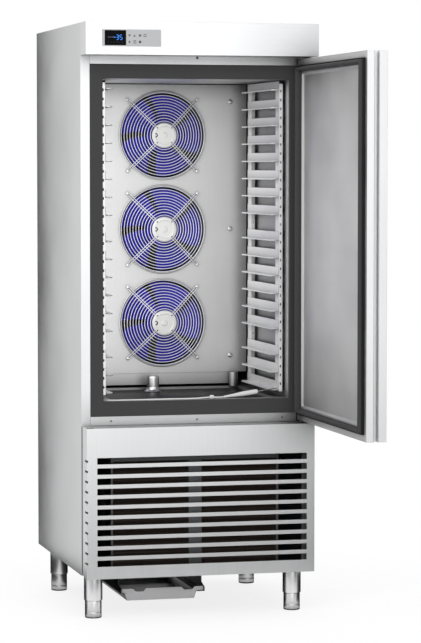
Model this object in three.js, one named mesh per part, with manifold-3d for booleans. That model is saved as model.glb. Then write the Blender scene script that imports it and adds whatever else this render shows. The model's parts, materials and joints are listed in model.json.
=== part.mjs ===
// Blast chiller: a tall cabinet on four legs, with one door, three evaporator fans behind a
// pair of tray racks, and a refrigerating unit in the compartment below the insulated cell.
// Everything is in millimetres. While it is drawn, X runs from the left side to the right,
// Y from the front face of the cabinet to the rear, and Z up from the floor. The whole model
// is moved at the end, so that its origin is at the middle of its footprint on the floor.
// The door is drawn shut and then turned open about its hinge, as it stands in the photograph.

import * as THREE from 'three';
import { mergeVertices } from 'three/addons/utils/BufferGeometryUtils.js';
import Module from 'manifold-3d';

const wasm = await Module();
wasm.setup();

// ---------------------------------------------------------------------------------------
// Driving dimensions
// ---------------------------------------------------------------------------------------

const seam = 0.3; // gap left between two separate pieces that touch
const sheet = 1.2; // steel sheet of the shell, the cell and the door
const reach = 5; // how far a cutting tool runs past the face that it cuts

// Cabinet
const cabinetWidth = 790;
const cabinetDepth = 790;
const cabinetHeight = 1980;
const legHeight = 150; // floor to the underside of the cabinet
const jambWidth = 31; // front return of a side panel
const rearReturn = 20; // rear return of a side panel
const cellBottom = 651.2; // underside of the insulation
const cellTopDrop = 120; // top of the insulation, below the cabinet's top
const cavityWall = 75; // side insulation with both its skins
const cavityRearWall = 65;
const cavityBottom = 728; // floor of the chilling cavity
const cavityTopDrop = 182; // ceiling of the chilling cavity, below the cabinet's top
const breakerBottom = 679; // sealing face around the cavity's mouth
const breakerTopDrop = 135; // top of the sealing face, below the cabinet's top
const breakerDepth = 14.7;
const panMargin = 44; // level rim of the cavity floor beside the sunken pan
const panFront = 45;
const panRear = 535;
const panDepth = 8;

// Fascia and its controls
const fasciaHeight = 107.5;
const fasciaDepth = 91;
const controlLeft = 55; // keypad overlay, from the cabinet's left side
const controlWidth = 196;
const controlHeight = 54;
const controlDrop = 26; // from the top of the fascia to the top of the overlay
const displayWidth = 71;
const displayMargin = 8;
const overlayThickness = 1;
const displayBodyDepth = 22;
const boardDepth = 28;

// Grille panel in front of the machine compartment
const grillePanelShort = 12; // panel's right edge, short of the cabinet's right side
const grillePanelDepth = 91;
const grillePanelTop = 649;
const slotCount = 11;
const slotPitch = 33.9;
const slotHeight = 21;
const slotLeft = 35;
const slotRight = 27; // from the end of a slot to the panel's right edge
const firstSlotDrop = 98; // from the panel's top to the top of its first slot
const sideSlotHeight = 7;
const sideSlotLength = 31;
const sideSlotWrap = 4; // how far a side slot runs round onto the front
const sideReturn = 45; // full-width part of the panel's side return
const sideStep = 3; // the rest of the return is set in by this much
const hemDepth = 16;
const cornerNotch = 27; // opening in the top return at its front left corner

// Door, shut
const doorThickness = 66;
const doorLeft = 2;
const doorShort = 12; // hinge edge, short of the cabinet's right side
const doorBottomGap = 6; // above the grille panel
const doorTopGap = 7.5; // below the fascia
const gasketWidth = 18;
const gasketDepth = 19;
const gasketInset = 23; // from the door's edges
const gasketGap = 0.7; // between the gasket and the sealing face, shut
const linerRim = 48; // flat rim of the door's inner panel
const linerDish = 7;
const gripSetback = 28; // from the door's outer face to the grip channel
const gripWidth = 13;
const gripDepth = 15;
const hingeInset = 23; // pivot, from the door's hinge edge
const hingeStandOff = 35; // pivot, in front of the cabinet's face
const hingePlate = 3;
const hingeSpread = 20; // half the width of a hinge bracket
const hingeReach = 16; // bracket in front of its pivot
const hingeUpright = 23; // screwed leaf of a bracket
const pinRadius = 5;
const pinLength = 23;
const bushWall = 3;
const bushFlange = 6;
const bushLength = 25;
const doorOpening = 90; // degrees from shut, as photographed

// Fan plate and its fans
const platePlace = 545; // front face of the fan plate, from the cabinet's face
const plateSideGap = 6; // between the plate and a side wall
const coilSideGap = 37; // between the coil, or its tray, and a side wall
const plateTopGap = 3;
const plateBottom = 778;
const plateFlange = 25;
const fanCount = 3;
const fanPlateMargin = 27; // plate's height that the fans leave over
const fanShift = 8; // fans to the right of the cavity's middle
const fanBridge = 30; // between the mouths of two fans
const collarDepth = 24;
const collarWall = 2;
const ringCount = 11;
const hubRing = 50; // radius of the innermost ring
const wireWidth = 2.6;
const grilleThickness = 2.6;
const grilleEdgeLift = 8; // outermost ring, in front of the plate
const grilleHubLift = 30; // innermost ring, in front of the plate
const spokeWidth = 10;
const spokeOverhang = 28; // centre of a spoke's screwed end, beyond the outer ring
const motorRadius = 40;
const motorCapRadius = 45;
const motorCapThickness = 5;
const motorLength = 22;
const shaftRadius = 6;
const rotorGap = 3;
const hubRadius = 56;
const hubLength = 62;
const bladeCount = 5;
const bladeGap = 7; // between a blade's tip and the mouth
const bladeSweep = 60; // degrees round the hub that a blade covers
const bladePitch = 30; // rise of a blade from its leading to its trailing edge
const bladeThickness = 2;
const bladeSetback = 6; // leading edge, behind the plate's front face
const knobRadius = 6;
const knobLength = 8;
const knobInset = 59; // from the plate's right edge
const knobDrop = 58.5; // outer knobs, from the plate's top and bottom

// Fin blocks of the evaporator and of the condenser
const finCount = 24;
const finThickness = 3;
const finWall = 3; // thin wall that joins the fins at the rear

// Evaporator and its tray
const coilFront = 606;
const coilBottom = 792;
const coilTopDrop = 20; // below the cavity's ceiling
const lugHeight = 60; // lugs that carry the fan plate
const trayLip = 737; // underside of the evaporator tray
const postRadius = 14.5;
const postInset = 21; // post, from the tray's right end

// Drain
const drainPlaceX = 351;
const drainPlaceY = 470;
const standpipeRadius = 21;
const standpipeTop = 773;
const drainFlare = 33;
const drainFlareHeight = 12;
const drainPipeRadius = 14;
const drainOutlet = 96; // lower end of the pipe, above the floor

// Tray racks
const rackStandOff = 8; // between an upright and the cavity's wall
const uprightDepth = 12;
const uprightWidth = 46;
const uprightSheet = 1.5;
const rackFront = 60;
const runnerLength = 407;
const ledgeWidth = 26;
const runnerRise = 27;
const lowestRunner = 753; // top of the lowest ledge
const topRunnerDrop = 31; // top of the highest ledge, below the cavity's ceiling
const runnerGap = 87; // between two groups of runners
const runnerGroups = [3, 6, 8]; // runners in each group, from the bottom
const uprightFoot = 746;
const uprightHeadDrop = 12; // below the cavity's ceiling
const pegRadius = 5;
const pegDrop = 60; // pegs, from the ends of an upright

// Core probe
const cableRadius = 2.25;
const glandDrop = 113.3; // underside of the gland, below the cavity's ceiling
const glandWidth = 16;
const glandHeight = 26;
const glandDepth = 9;
const ferruleRadius = 6.5;
const ferruleLength = 12;
const probeInset = 222; // rear end of the handle, from the cavity's right wall
const cableTip = 0.7; // between the cable's end and the rear end of the handle
const handleLength = 127;
const handleRadius = 8;
const handleNeck = 3;
const needleRadius = 1.8;
const needleLength = 78;

// Machine compartment
const condenserLeft = 92;
const condenserShort = 122; // right end, from the cabinet's right side
const condenserTop = 545;
const condenserDepth = 56;
const condenserPlate = 8;
const condenserBarHeight = 14;
const condenserBandWidth = 45;
const condenserFanHeight = 355; // fan axis above the floor
const condenserFanPlaceY = 66;
const condenserMotorLength = 60;
const motorStandWidth = 40;
const motorStandSheet = 8;
const motorStandFoot = 3;
const compressorInset = 210; // axis, from the cabinet's right side
const compressorPlaceY = 500;
const compressorRadius = 105;
const compressorHeight = 300;
const compressorDome = 60; // height of the rounded top
const compressorLift = 18; // underside of its foot plate, above the compartment's floor
const compressorPlate = 7;
const compressorPlateLength = 260;
const compressorPlateWidth = 147;
const compressorPadRadius = 12;
const receiverPlaceX = 200;
const receiverPlaceY = 600;
const receiverRadius = 50;
const receiverHeight = 260;
const receiverDome = 18;
const vesselTaper = 0.75; // radius of a vessel's end as a share of the vessel's own radius
const pipeRadius = 6;
const pipeRise = 68; // top of the pipe's run above the compressor
const pipeSide = 40; // run of the pipe beside the condenser's end plate

// Legs
const legInset = 50; // leg centre, from a side
const frontLegPlace = 55;
const rearLegPlace = 658;
const footRadius = 28;
const footHeight = 60; // visible part of a foot
const footHidden = 60; // part inside the leg
const legWall = 2.7;
const legCap = 6;

// Drip tray under the cabinet
const trayLeft = 158;
const trayRight = 408;
const trayTaper = 9;
const trayFront = 61;
const trayLength = 440;
const trayBottom = 51;
const trayTop = 77;
const trayRimLeft = 8.5;
const trayRimRight = 23.5;
const trayFrontLip = 14; // front lip above the tray's rim
const lipNotchWidth = 46;
const lipNotchFoot = 27;
const lipNotchDepth = 10;
const lipNotchPlaces = [210, 378];
const railSheet = 1.5;
const railFront = 55;
const railChamfer = 45;
const railTieDrop = 30;

// ---------------------------------------------------------------------------------------
// Values worked out from them
// ---------------------------------------------------------------------------------------

const cavityLeft = cavityWall;
const cavityRight = cabinetWidth - cavityWall;
const cavityMiddle = (cavityLeft + cavityRight) / 2;
const cavityRear = cabinetDepth - cavityRearWall;
const cavityTop = cabinetHeight - cavityTopDrop;
const cellTop = cabinetHeight - cellTopDrop;
const breakerTop = cabinetHeight - breakerTopDrop;
const grillePanelWidth = cabinetWidth - grillePanelShort;
const fasciaBottom = cabinetHeight - fasciaHeight;
const doorBottom = grillePanelTop + doorBottomGap;
const doorTop = fasciaBottom - doorTopGap;
const doorRight = cabinetWidth - doorShort;
const doorInnerFace = -(gasketDepth + gasketGap + seam);
const doorOuterFace = doorInnerFace - doorThickness;
const pivotX = doorRight - hingeInset;
const pivotY = -hingeStandOff;
const plateLeft = cavityLeft + plateSideGap;
const plateRight = cavityRight - plateSideGap;
const coilLeft = cavityLeft + coilSideGap;
const coilRight = cavityRight - coilSideGap;
const plateTop = cavityTop - plateTopGap;
const fanX = cavityMiddle + fanShift;
const fanPitch = (plateTop - plateBottom - fanPlateMargin) / fanCount;
const fanRadius = (fanPitch - fanBridge) / 2;
const ringPitch = (fanRadius - hubRing) / (ringCount - 1);
const spokeReach = fanRadius + spokeOverhang;
const bladeSpan = fanRadius - bladeGap;
const fanHeights = [];
for (let fan = 0; fan < fanCount; fan += 1) {
  const middle = (plateBottom + plateTop) / 2;
  fanHeights.push(middle + ((fanCount - 1) / 2 - fan) * fanPitch);
}
const coilTop = cavityTop - coilTopDrop;
const uprightHead = cavityTop - uprightHeadDrop;
const baseTop = legHeight + sheet;
const condenserRight = cabinetWidth - condenserShort;
const condenserMiddle = (condenserLeft + condenserRight) / 2;
const compressorPlaceX = cabinetWidth - compressorInset;

// ---------------------------------------------------------------------------------------
// Materials
// ---------------------------------------------------------------------------------------

const finish = (color, roughness, metalness) =>
  new THREE.MeshStandardMaterial({ color, roughness, metalness });

const satinSteel = finish(0xd9dadb, 0.35, 0.9);
const innerSteel = finish(0xc2c4c5, 0.4, 0.9);
const brightSteel = finish(0xd0d2d4, 0.2, 1.0);
const galvanised = finish(0x9a9d9f, 0.55, 0.8);
const darkPlastic = finish(0x48484a, 0.6, 0.0);
const blackPlastic = finish(0x121214, 0.5, 0.0);
const whitePlastic = finish(0xecebe6, 0.5, 0.0);
const greyPlastic = finish(0xd4d5d5, 0.45, 0.0);
const foam = finish(0xd9cf9a, 0.9, 0.0);
const rubber = finish(0x3a3a3c, 0.8, 0.0);
const blackGlass = finish(0x050507, 0.08, 0.0);
const blueBlade = finish(0x1c1670, 0.4, 0.1);
const whiteWire = finish(0xe8e8ea, 0.3, 0.4);
const finMetal = finish(0x4a423c, 0.6, 0.6);
const coilMetal = finish(0xb8bbbd, 0.5, 0.8);
const blackPaint = finish(0x1a1a1b, 0.45, 0.2);
const copper = finish(0xb56a3c, 0.35, 0.9);
const whiteSilicone = finish(0xf2f1ee, 0.6, 0.0);
const boardGreen = finish(0x2d5a3c, 0.6, 0.1);

// ---------------------------------------------------------------------------------------
// Solid helpers
// ---------------------------------------------------------------------------------------

// A closed geometry as a solid. Triangles that have shrunk to a line, as at the axis of a
// turned shape, are left out.
function solid(geometry) {
  const bare = geometry.clone();
  bare.deleteAttribute('normal');
  bare.deleteAttribute('uv');
  const merged = mergeVertices(bare, 1e-4);
  const corners = merged.index.array;
  const faces = [];
  for (let at = 0; at < corners.length; at += 3) {
    const [a, b, c] = [corners[at], corners[at + 1], corners[at + 2]];
    if (a !== b && b !== c && c !== a) faces.push(a, b, c);
  }
  const mesh = new wasm.Mesh({
    numProp: 3,
    vertProperties: Float32Array.from(merged.attributes.position.array),
    triVerts: Uint32Array.from(faces),
  });
  return new wasm.Manifold(mesh);
}

function geometryOf(body) {
  const mesh = body.getMesh();
  const geometry = new THREE.BufferGeometry();
  geometry.setAttribute('position', new THREE.BufferAttribute(mesh.vertProperties, 3));
  geometry.setIndex(new THREE.BufferAttribute(mesh.triVerts, 1));
  return geometry;
}

const join = (first, ...others) => others.reduce((whole, part) => whole.add(part), first);
const cut = (first, ...tools) => tools.reduce((whole, tool) => whole.subtract(tool), first);

function block(x0, x1, y0, y1, z0, z1) {
  const box = new THREE.BoxGeometry(x1 - x0, y1 - y0, z1 - z0);
  return solid(box.translate((x0 + x1) / 2, (y0 + y1) / 2, (z0 + z1) / 2));
}

function shapeOf(points, holes = []) {
  const shape = new THREE.Shape(points.map(([u, v]) => new THREE.Vector2(u, v)));
  for (const hole of holes) {
    shape.holes.push(new THREE.Path(hole.map(([u, v]) => new THREE.Vector2(u, v))));
  }
  return shape;
}

const flatExtrusion = (shape, depth) =>
  new THREE.ExtrudeGeometry(shape, { depth, bevelEnabled: false });

// Prisms from an outline: in X and Y along Z, in Y and Z along X, in X and Z along Y.
const prismZ = (points, z0, z1) =>
  solid(flatExtrusion(shapeOf(points), z1 - z0).translate(0, 0, z0));

function prismX(points, x0, x1) {
  const turn = new THREE.Matrix4().makeBasis(
    new THREE.Vector3(0, 1, 0),
    new THREE.Vector3(0, 0, 1),
    new THREE.Vector3(1, 0, 0),
  );
  return solid(flatExtrusion(shapeOf(points), x1 - x0).applyMatrix4(turn).translate(x0, 0, 0));
}

const prismY = (points, y0, y1, holes = []) =>
  solid(flatExtrusion(shapeOf(points, holes), y1 - y0).rotateX(Math.PI / 2).translate(0, y1, 0));

// Round bars along one axis: centre in the two other axes, from and to along it.
function rodZ(x, y, z0, z1, radius, sides = 20) {
  const bar = new THREE.CylinderGeometry(radius, radius, z1 - z0, sides);
  return solid(bar.rotateX(Math.PI / 2).translate(x, y, (z0 + z1) / 2));
}

function rodY(x, z, y0, y1, radius, sides = 24) {
  const bar = new THREE.CylinderGeometry(radius, radius, y1 - y0, sides);
  return solid(bar.translate(x, (y0 + y1) / 2, z));
}

function rodX(y, z, x0, x1, radius, sides = 12) {
  const bar = new THREE.CylinderGeometry(radius, radius, x1 - x0, sides);
  return solid(bar.rotateZ(Math.PI / 2).translate((x0 + x1) / 2, y, z));
}

// A body turned about an upright axis at x, y. The profile is a list of [radius, height],
// from the bottom up, which starts and ends on the axis.
function turnedZ(x, y, profile, sides = 20) {
  const points = profile.map(([radius, height]) => new THREE.Vector2(radius, height));
  const lathe = new THREE.LatheGeometry(points, sides).rotateX(Math.PI / 2);
  return solid(lathe.translate(x, y, 0));
}

// A block of upright fins, open at the front and joined by a thin wall at the rear.
function finBlock(left, right, front, rear, bottom, top) {
  const pitch = (right - left - finThickness) / (finCount - 1);
  const outline = [[left, rear]];
  for (let fin = 0; fin < finCount; fin += 1) {
    const x = left + fin * pitch;
    if (fin > 0) outline.push([x, rear - finWall]);
    outline.push([x, front], [x + finThickness, front]);
    if (fin < finCount - 1) outline.push([x + finThickness, rear - finWall]);
  }
  outline.push([right, rear]);
  return prismZ(outline, bottom, top);
}

// A round tube along a smooth line through the points.
function tubeAlong(points, radius, steps, sides) {
  const line = new THREE.CatmullRomCurve3(
    points.map(([x, y, z]) => new THREE.Vector3(x, y, z)), false, 'centripetal');
  const section = [];
  for (let side = 0; side < sides; side += 1) {
    const angle = (side / sides) * 2 * Math.PI;
    section.push([radius * Math.cos(angle), radius * Math.sin(angle)]);
  }
  return new THREE.ExtrudeGeometry(shapeOf(section), {
    steps,
    extrudePath: line,
    bevelEnabled: false,
  });
}

// ---------------------------------------------------------------------------------------
// The groups that the meshes hang in
// ---------------------------------------------------------------------------------------

const chiller = new THREE.Group();
const cabinet = new THREE.Group();
const doorHinge = new THREE.Group();
const door = new THREE.Group();
chiller.add(cabinet, doorHinge);
doorHinge.add(door);
doorHinge.position.set(pivotX, pivotY, 0);
doorHinge.rotation.z = THREE.MathUtils.degToRad(doorOpening);
door.position.set(-pivotX, -pivotY, 0);

function addPiece(parent, name, geometry, material) {
  geometry.computeVertexNormals();
  const mesh = new THREE.Mesh(geometry, material);
  mesh.name = name;
  parent.add(mesh);
}

const addSolid = (parent, name, body, material) =>
  addPiece(parent, name, geometryOf(body), material);

// ---------------------------------------------------------------------------------------
// Cabinet shell
// ---------------------------------------------------------------------------------------

// A side panel is one folded sheet with a front return, the jamb, and a rear return.
function sidePanel(fromSide) {
  const outline = [
    [0, 0],
    [jambWidth, 0],
    [jambWidth, sheet],
    [sheet, sheet],
    [sheet, cabinetDepth - sheet],
    [rearReturn, cabinetDepth - sheet],
    [rearReturn, cabinetDepth],
    [0, cabinetDepth],
  ];
  return prismZ(outline.map(([x, y]) => [fromSide(x), y]), legHeight, cabinetHeight);
}

const insideLeft = sheet + seam;
const insideRight = cabinetWidth - sheet - seam;
const insideFront = sheet + seam;
const insideRear = cabinetDepth - sheet - seam;
const jambInner = jambWidth + seam;

function addShell() {
  addSolid(cabinet, 'side_panel_left', sidePanel((x) => x), satinSteel);
  addSolid(cabinet, 'side_panel_right', sidePanel((x) => cabinetWidth - x), satinSteel);

  const rearLeft = rearReturn + seam;
  const rearRight = cabinetWidth - rearReturn - seam;
  const ventCount = 9;
  const ventPitch = 36;
  const ventHeight = 12;
  const ventMargin = 120;
  const ventStart = legHeight + 70;
  const vents = [];
  for (let vent = 0; vent < ventCount; vent += 1) {
    const low = ventStart + vent * ventPitch;
    vents.push([
      [rearLeft + ventMargin, low],
      [rearRight - ventMargin, low],
      [rearRight - ventMargin, low + ventHeight],
      [rearLeft + ventMargin, low + ventHeight],
    ]);
  }
  const rearOutline = [
    [rearLeft, legHeight],
    [rearRight, legHeight],
    [rearRight, cabinetHeight],
    [rearLeft, cabinetHeight],
  ];
  const rear = prismY(rearOutline, cabinetDepth - sheet, cabinetDepth, vents);
  addSolid(cabinet, 'rear_panel', rear, galvanised);

  const top = block(insideLeft, insideRight, insideFront, insideRear,
    cabinetHeight - sheet, cabinetHeight);
  addSolid(cabinet, 'top_panel', top, satinSteel);

  const header = block(jambInner, cabinetWidth - jambInner, 0, sheet,
    breakerTop + seam, cabinetHeight);
  addSolid(cabinet, 'front_header', header, satinSteel);

  const base = cut(
    block(insideLeft, insideRight, insideFront, insideRear, legHeight, baseTop),
    rodZ(drainPlaceX, drainPlaceY, legHeight - reach, baseTop + reach, drainPipeRadius + 2),
  );
  addSolid(cabinet, 'base_panel', base, galvanised);

  // The sheet under the insulation turns up at the front into the sill below the door.
  const floorSheetTop = cellBottom - seam;
  const floorSheetBottom = floorSheetTop - sheet;
  const floorSheet = cut(
    join(
      block(jambInner, cabinetWidth - jambInner, 0, sheet, floorSheetBottom,
        breakerBottom - seam),
      block(jambInner, cabinetWidth - jambInner, 0, reach, floorSheetBottom, floorSheetTop),
      block(insideLeft, insideRight, insideFront, insideRear, floorSheetBottom, floorSheetTop),
    ),
    rodZ(drainPlaceX, drainPlaceY, floorSheetBottom - reach, floorSheetTop + reach,
      drainPipeRadius + seam),
  );
  addSolid(cabinet, 'cell_floor_sheet', floorSheet, satinSteel);
}

// ---------------------------------------------------------------------------------------
// Insulated cell
// ---------------------------------------------------------------------------------------

function panSpace(grow, z0, z1) {
  return block(cavityLeft + panMargin - grow, cavityRight - panMargin + grow,
    panFront - grow, panRear + grow, z0, z1);
}

function addCell() {
  const skin = sheet + seam;
  const linerFront = breakerDepth + seam;
  const panFloor = cavityBottom - panDepth;
  const drainHole = (radius) =>
    rodZ(drainPlaceX, drainPlaceY, cellBottom - reach, cavityBottom + reach, radius);

  const liner = cut(
    join(
      block(cavityLeft - sheet, cavityRight + sheet, linerFront, cavityRear + sheet,
        cavityBottom - sheet, cavityTop + sheet),
      panSpace(sheet, panFloor - sheet, cavityBottom),
    ),
    block(cavityLeft, cavityRight, linerFront - reach, cavityRear, cavityBottom, cavityTop),
    panSpace(0, panFloor, cavityBottom + reach),
    drainHole(drainPipeRadius + seam),
  );
  addSolid(cabinet, 'inner_liner', liner, innerSteel);

  const insulation = cut(
    block(insideLeft, insideRight, insideFront, insideRear, cellBottom, cellTop),
    block(cavityLeft - skin, cavityRight + skin, -reach, cavityRear + skin,
      cavityBottom - skin, cavityTop + skin),
    panSpace(skin, panFloor - skin, cavityBottom),
    block(jambWidth, cabinetWidth - jambWidth, -reach, linerFront,
      breakerBottom - seam, breakerTop + seam),
    drainHole(drainPipeRadius + seam),
  );
  addSolid(cabinet, 'foam_insulation', insulation, foam);

  const breaker = cut(
    block(jambInner, cabinetWidth - jambInner, 0, breakerDepth, breakerBottom, breakerTop),
    block(cavityLeft, cavityRight, -reach, breakerDepth + reach, cavityBottom, cavityTop),
  );
  addSolid(cabinet, 'breaker_frame', breaker, darkPlastic);

  // The standpipe stands in the pan and goes on down as the drain pipe to the drip tray.
  const standpipe = cut(
    turnedZ(drainPlaceX, drainPlaceY, [
      [0, drainOutlet],
      [drainPipeRadius, drainOutlet],
      [drainPipeRadius, panFloor + seam],
      [drainFlare, panFloor + seam],
      [standpipeRadius, panFloor + drainFlareHeight],
      [standpipeRadius, standpipeTop],
      [0, standpipeTop],
    ]),
    rodZ(drainPlaceX, drainPlaceY, drainOutlet - reach, standpipeTop + reach,
      drainPipeRadius - 2),
  );
  addSolid(cabinet, 'drain_standpipe', standpipe, brightSteel);
}

// ---------------------------------------------------------------------------------------
// Fascia and controls
// ---------------------------------------------------------------------------------------

function addFascia() {
  const front = -fasciaDepth;
  const lowerReturnEnd = -2 * hingePlate;
  const overlayTop = cabinetHeight - controlDrop;
  const overlayBottom = overlayTop - controlHeight;
  const windowLeft = controlLeft + displayMargin;
  const windowRight = windowLeft + displayWidth;
  const bodyMargin = 3;
  const windowHole = (grow, y0, y1) =>
    block(windowLeft + bodyMargin - grow, windowRight - bodyMargin + grow, y0, y1,
      overlayBottom + bodyMargin - grow, overlayTop - bodyMargin + grow);

  const fascia = cut(
    block(0, cabinetWidth, front, -seam, fasciaBottom, cabinetHeight),
    block(sheet, cabinetWidth - sheet, front + sheet, reach,
      fasciaBottom + sheet, cabinetHeight - sheet),
    block(sheet, cabinetWidth - sheet, lowerReturnEnd, reach,
      fasciaBottom - reach, fasciaBottom + 2 * sheet),
    windowHole(seam, front - reach, front + reach),
  );
  addSolid(cabinet, 'fascia_panel', fascia, satinSteel);

  const overlayBack = front - seam;
  const overlayFront = overlayBack - overlayThickness;
  const overlay = cut(
    block(controlLeft, controlLeft + controlWidth, overlayFront, overlayBack,
      overlayBottom, overlayTop),
    block(windowLeft - seam, windowRight + seam, overlayFront - reach, overlayBack + reach,
      overlayBottom + 2 * sheet, overlayTop - 2 * sheet),
  );
  addSolid(cabinet, 'keypad_overlay', overlay, greyPlastic);

  const display = join(
    block(windowLeft, windowRight, overlayFront, overlayBack,
      overlayBottom + 2 * sheet + seam, overlayTop - 2 * sheet - seam),
    windowHole(0, overlayBack - overlayThickness / 2, front + displayBodyDepth),
  );
  addSolid(cabinet, 'display_window', display, blackGlass);

  const boardBack = front + sheet + seam;
  const board = block(windowRight + reach, controlLeft + controlWidth, boardBack,
    boardBack + boardDepth, overlayBottom, overlayTop);
  addSolid(cabinet, 'control_board', board, boardGreen);
}

// ---------------------------------------------------------------------------------------
// Grille panel of the machine compartment
// ---------------------------------------------------------------------------------------

function addGrillePanel() {
  const front = -grillePanelDepth;
  const stepStart = front + sideReturn;
  const right = grillePanelWidth;

  // Outline of the folded sheet seen from above: two stepped side returns and the face.
  const outer = [
    [0, front],
    [right, front],
    [right, stepStart],
    [right - sideStep, stepStart],
    [right - sideStep, -seam],
    [sideStep, -seam],
    [sideStep, stepStart],
    [0, stepStart],
  ];
  const inner = [
    [sheet, front + sheet],
    [right - sheet, front + sheet],
    [right - sheet, stepStart - sheet],
    [right - sideStep - sheet, stepStart - sheet],
    [right - sideStep - sheet, reach],
    [sideStep + sheet, reach],
    [sideStep + sheet, stepStart - sheet],
    [sheet, stepStart - sheet],
  ];
  let panel = cut(
    prismZ(outer, legHeight, grillePanelTop),
    prismZ(inner, legHeight + sheet, grillePanelTop - sheet),
    block(2 * sheet, right - 2 * sheet, front + hemDepth, reach,
      legHeight - reach, legHeight + 2 * sheet),
    block(2 * sheet, cornerNotch, front + 2 * sheet, front + cornerNotch,
      grillePanelTop - 2 * sheet, grillePanelTop + reach),
  );
  for (let slot = 0; slot < slotCount; slot += 1) {
    const top = grillePanelTop - firstSlotDrop - slot * slotPitch;
    const middle = top - slotHeight / 2;
    panel = cut(
      panel,
      block(slotLeft, right - slotRight, front - reach, front + reach,
        top - slotHeight, top),
      block(-reach, sideSlotWrap, front - reach, front + sideSlotLength,
        middle - sideSlotHeight / 2, middle + sideSlotHeight / 2),
    );
  }
  addSolid(cabinet, 'lower_grille_panel', panel, satinSteel);
}

// ---------------------------------------------------------------------------------------
// Door, drawn shut
// ---------------------------------------------------------------------------------------

function addDoor() {
  const gripFront = doorOuterFace + gripSetback;
  const gripRear = gripFront + gripWidth;
  const channel = (grow) =>
    block(doorLeft - reach, doorLeft + gripDepth + grow, gripFront - grow, gripRear + grow,
      doorBottom - reach, doorTop + reach);
  const bushRadius = pinRadius + seam + bushWall;
  const bushHoles = (grow) => [
    rodZ(pivotX, pivotY, doorTop - bushLength - grow, doorTop + reach, bushRadius + grow),
    rodZ(pivotX, pivotY, doorBottom - reach, doorBottom + bushLength + grow,
      bushRadius + grow),
  ];
  const channelWall = sheet + 2 * seam;

  const skin = cut(
    block(doorLeft, doorRight, doorOuterFace, doorInnerFace, doorBottom, doorTop),
    block(doorLeft + sheet, doorRight - sheet, doorOuterFace + sheet, doorInnerFace + reach,
      doorBottom + sheet, doorTop - sheet),
    channel(channelWall),
    ...bushHoles(seam),
  );
  addSolid(door, 'door_skin', skin, satinSteel);

  const grip = cut(
    block(doorLeft, doorLeft + gripDepth + sheet, gripFront - sheet, gripRear + sheet,
      doorBottom, doorTop),
    channel(0),
  );
  addSolid(door, 'door_handle_profile', grip, brightSteel);

  const inside = sheet + seam;
  const linerLeft = doorLeft + inside;
  const linerRight = doorRight - inside;
  const linerBottom = doorBottom + inside;
  const linerTop = doorTop - inside;
  const dish = (grow, y0, y1) =>
    block(doorLeft + linerRim - grow, doorRight - linerRim + grow, y0, y1,
      doorBottom + linerRim - grow, doorTop - linerRim + grow);
  const liner = cut(
    join(
      block(linerLeft, linerRight, doorInnerFace - sheet, doorInnerFace,
        linerBottom, linerTop),
      dish(sheet, doorInnerFace - linerDish - sheet, doorInnerFace),
    ),
    dish(0, doorInnerFace - linerDish, doorInnerFace + reach),
  );
  addSolid(door, 'door_liner', liner, innerSteel);

  const foamRear = doorInnerFace - linerDish - inside;
  const core = cut(
    block(linerLeft, linerRight, doorOuterFace + inside, foamRear, linerBottom, linerTop),
    channel(channelWall),
    ...bushHoles(seam),
  );
  addSolid(door, 'door_foam', core, foam);

  const gasketBack = doorInnerFace + seam;
  const ring = (inset, y0, y1) =>
    block(doorLeft + inset, doorRight - inset, y0, y1, doorBottom + inset, doorTop - inset);
  const gasket = cut(
    ring(gasketInset, gasketBack, gasketBack + gasketDepth),
    ring(gasketInset + gasketWidth, gasketBack - reach, gasketBack + gasketDepth + reach),
  );
  addSolid(door, 'door_gasket', gasket, rubber);

  // Bushes: a sleeve in the door with a flange between the door and the hinge bracket.
  const bush = (z0, z1, flangeLow, flangeHigh) => cut(
    join(
      rodZ(pivotX, pivotY, z0, z1, bushRadius, 16),
      rodZ(pivotX, pivotY, flangeLow, flangeHigh, pinRadius + bushFlange, 16),
    ),
    rodZ(pivotX, pivotY, z0 - reach, z1 + reach, pinRadius + seam, 16),
  );
  const upperPlate = doorTop + (doorTopGap - hingePlate) / 2;
  const lowerPlateTop = grillePanelTop + seam + hingePlate;
  addSolid(door, 'door_bush_upper',
    bush(doorTop - bushLength, upperPlate - seam, doorTop + seam, upperPlate - seam),
    whitePlastic);
  addSolid(door, 'door_bush_lower',
    bush(lowerPlateTop + seam, doorBottom + bushLength, lowerPlateTop + seam,
      doorBottom - seam),
    whitePlastic);

  // Brackets on the cabinet: a plate under or over the door, a screwed leaf and a fixed pin.
  const bracket = (plateLow, leafLow, leafHigh, pinLow, pinHigh) => join(
    block(pivotX - hingeSpread, pivotX + hingeSpread, pivotY - hingeReach, -seam,
      plateLow, plateLow + hingePlate),
    block(pivotX - hingeSpread, pivotX + hingeSpread, -seam - hingePlate, -seam,
      leafLow, leafHigh),
    rodZ(pivotX, pivotY, pinLow, pinHigh, pinRadius, 16),
  );
  addSolid(cabinet, 'hinge_upper',
    bracket(upperPlate, upperPlate, upperPlate + hingePlate + hingeUpright,
      upperPlate - pinLength, upperPlate + hingePlate),
    brightSteel);
  addSolid(cabinet, 'hinge_lower',
    bracket(lowerPlateTop - hingePlate, lowerPlateTop - hingePlate,
      lowerPlateTop + hingeUpright, lowerPlateTop - hingePlate, lowerPlateTop + pinLength),
    brightSteel);
}

// ---------------------------------------------------------------------------------------
// Fans
// ---------------------------------------------------------------------------------------

const degrees = THREE.MathUtils.degToRad;

function arc(radius, from, to, steps) {
  const points = [];
  for (let step = 0; step <= steps; step += 1) {
    const angle = degrees(from + ((to - from) * step) / steps);
    points.push([radius * Math.cos(angle), radius * Math.sin(angle)]);
  }
  return points;
}

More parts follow.
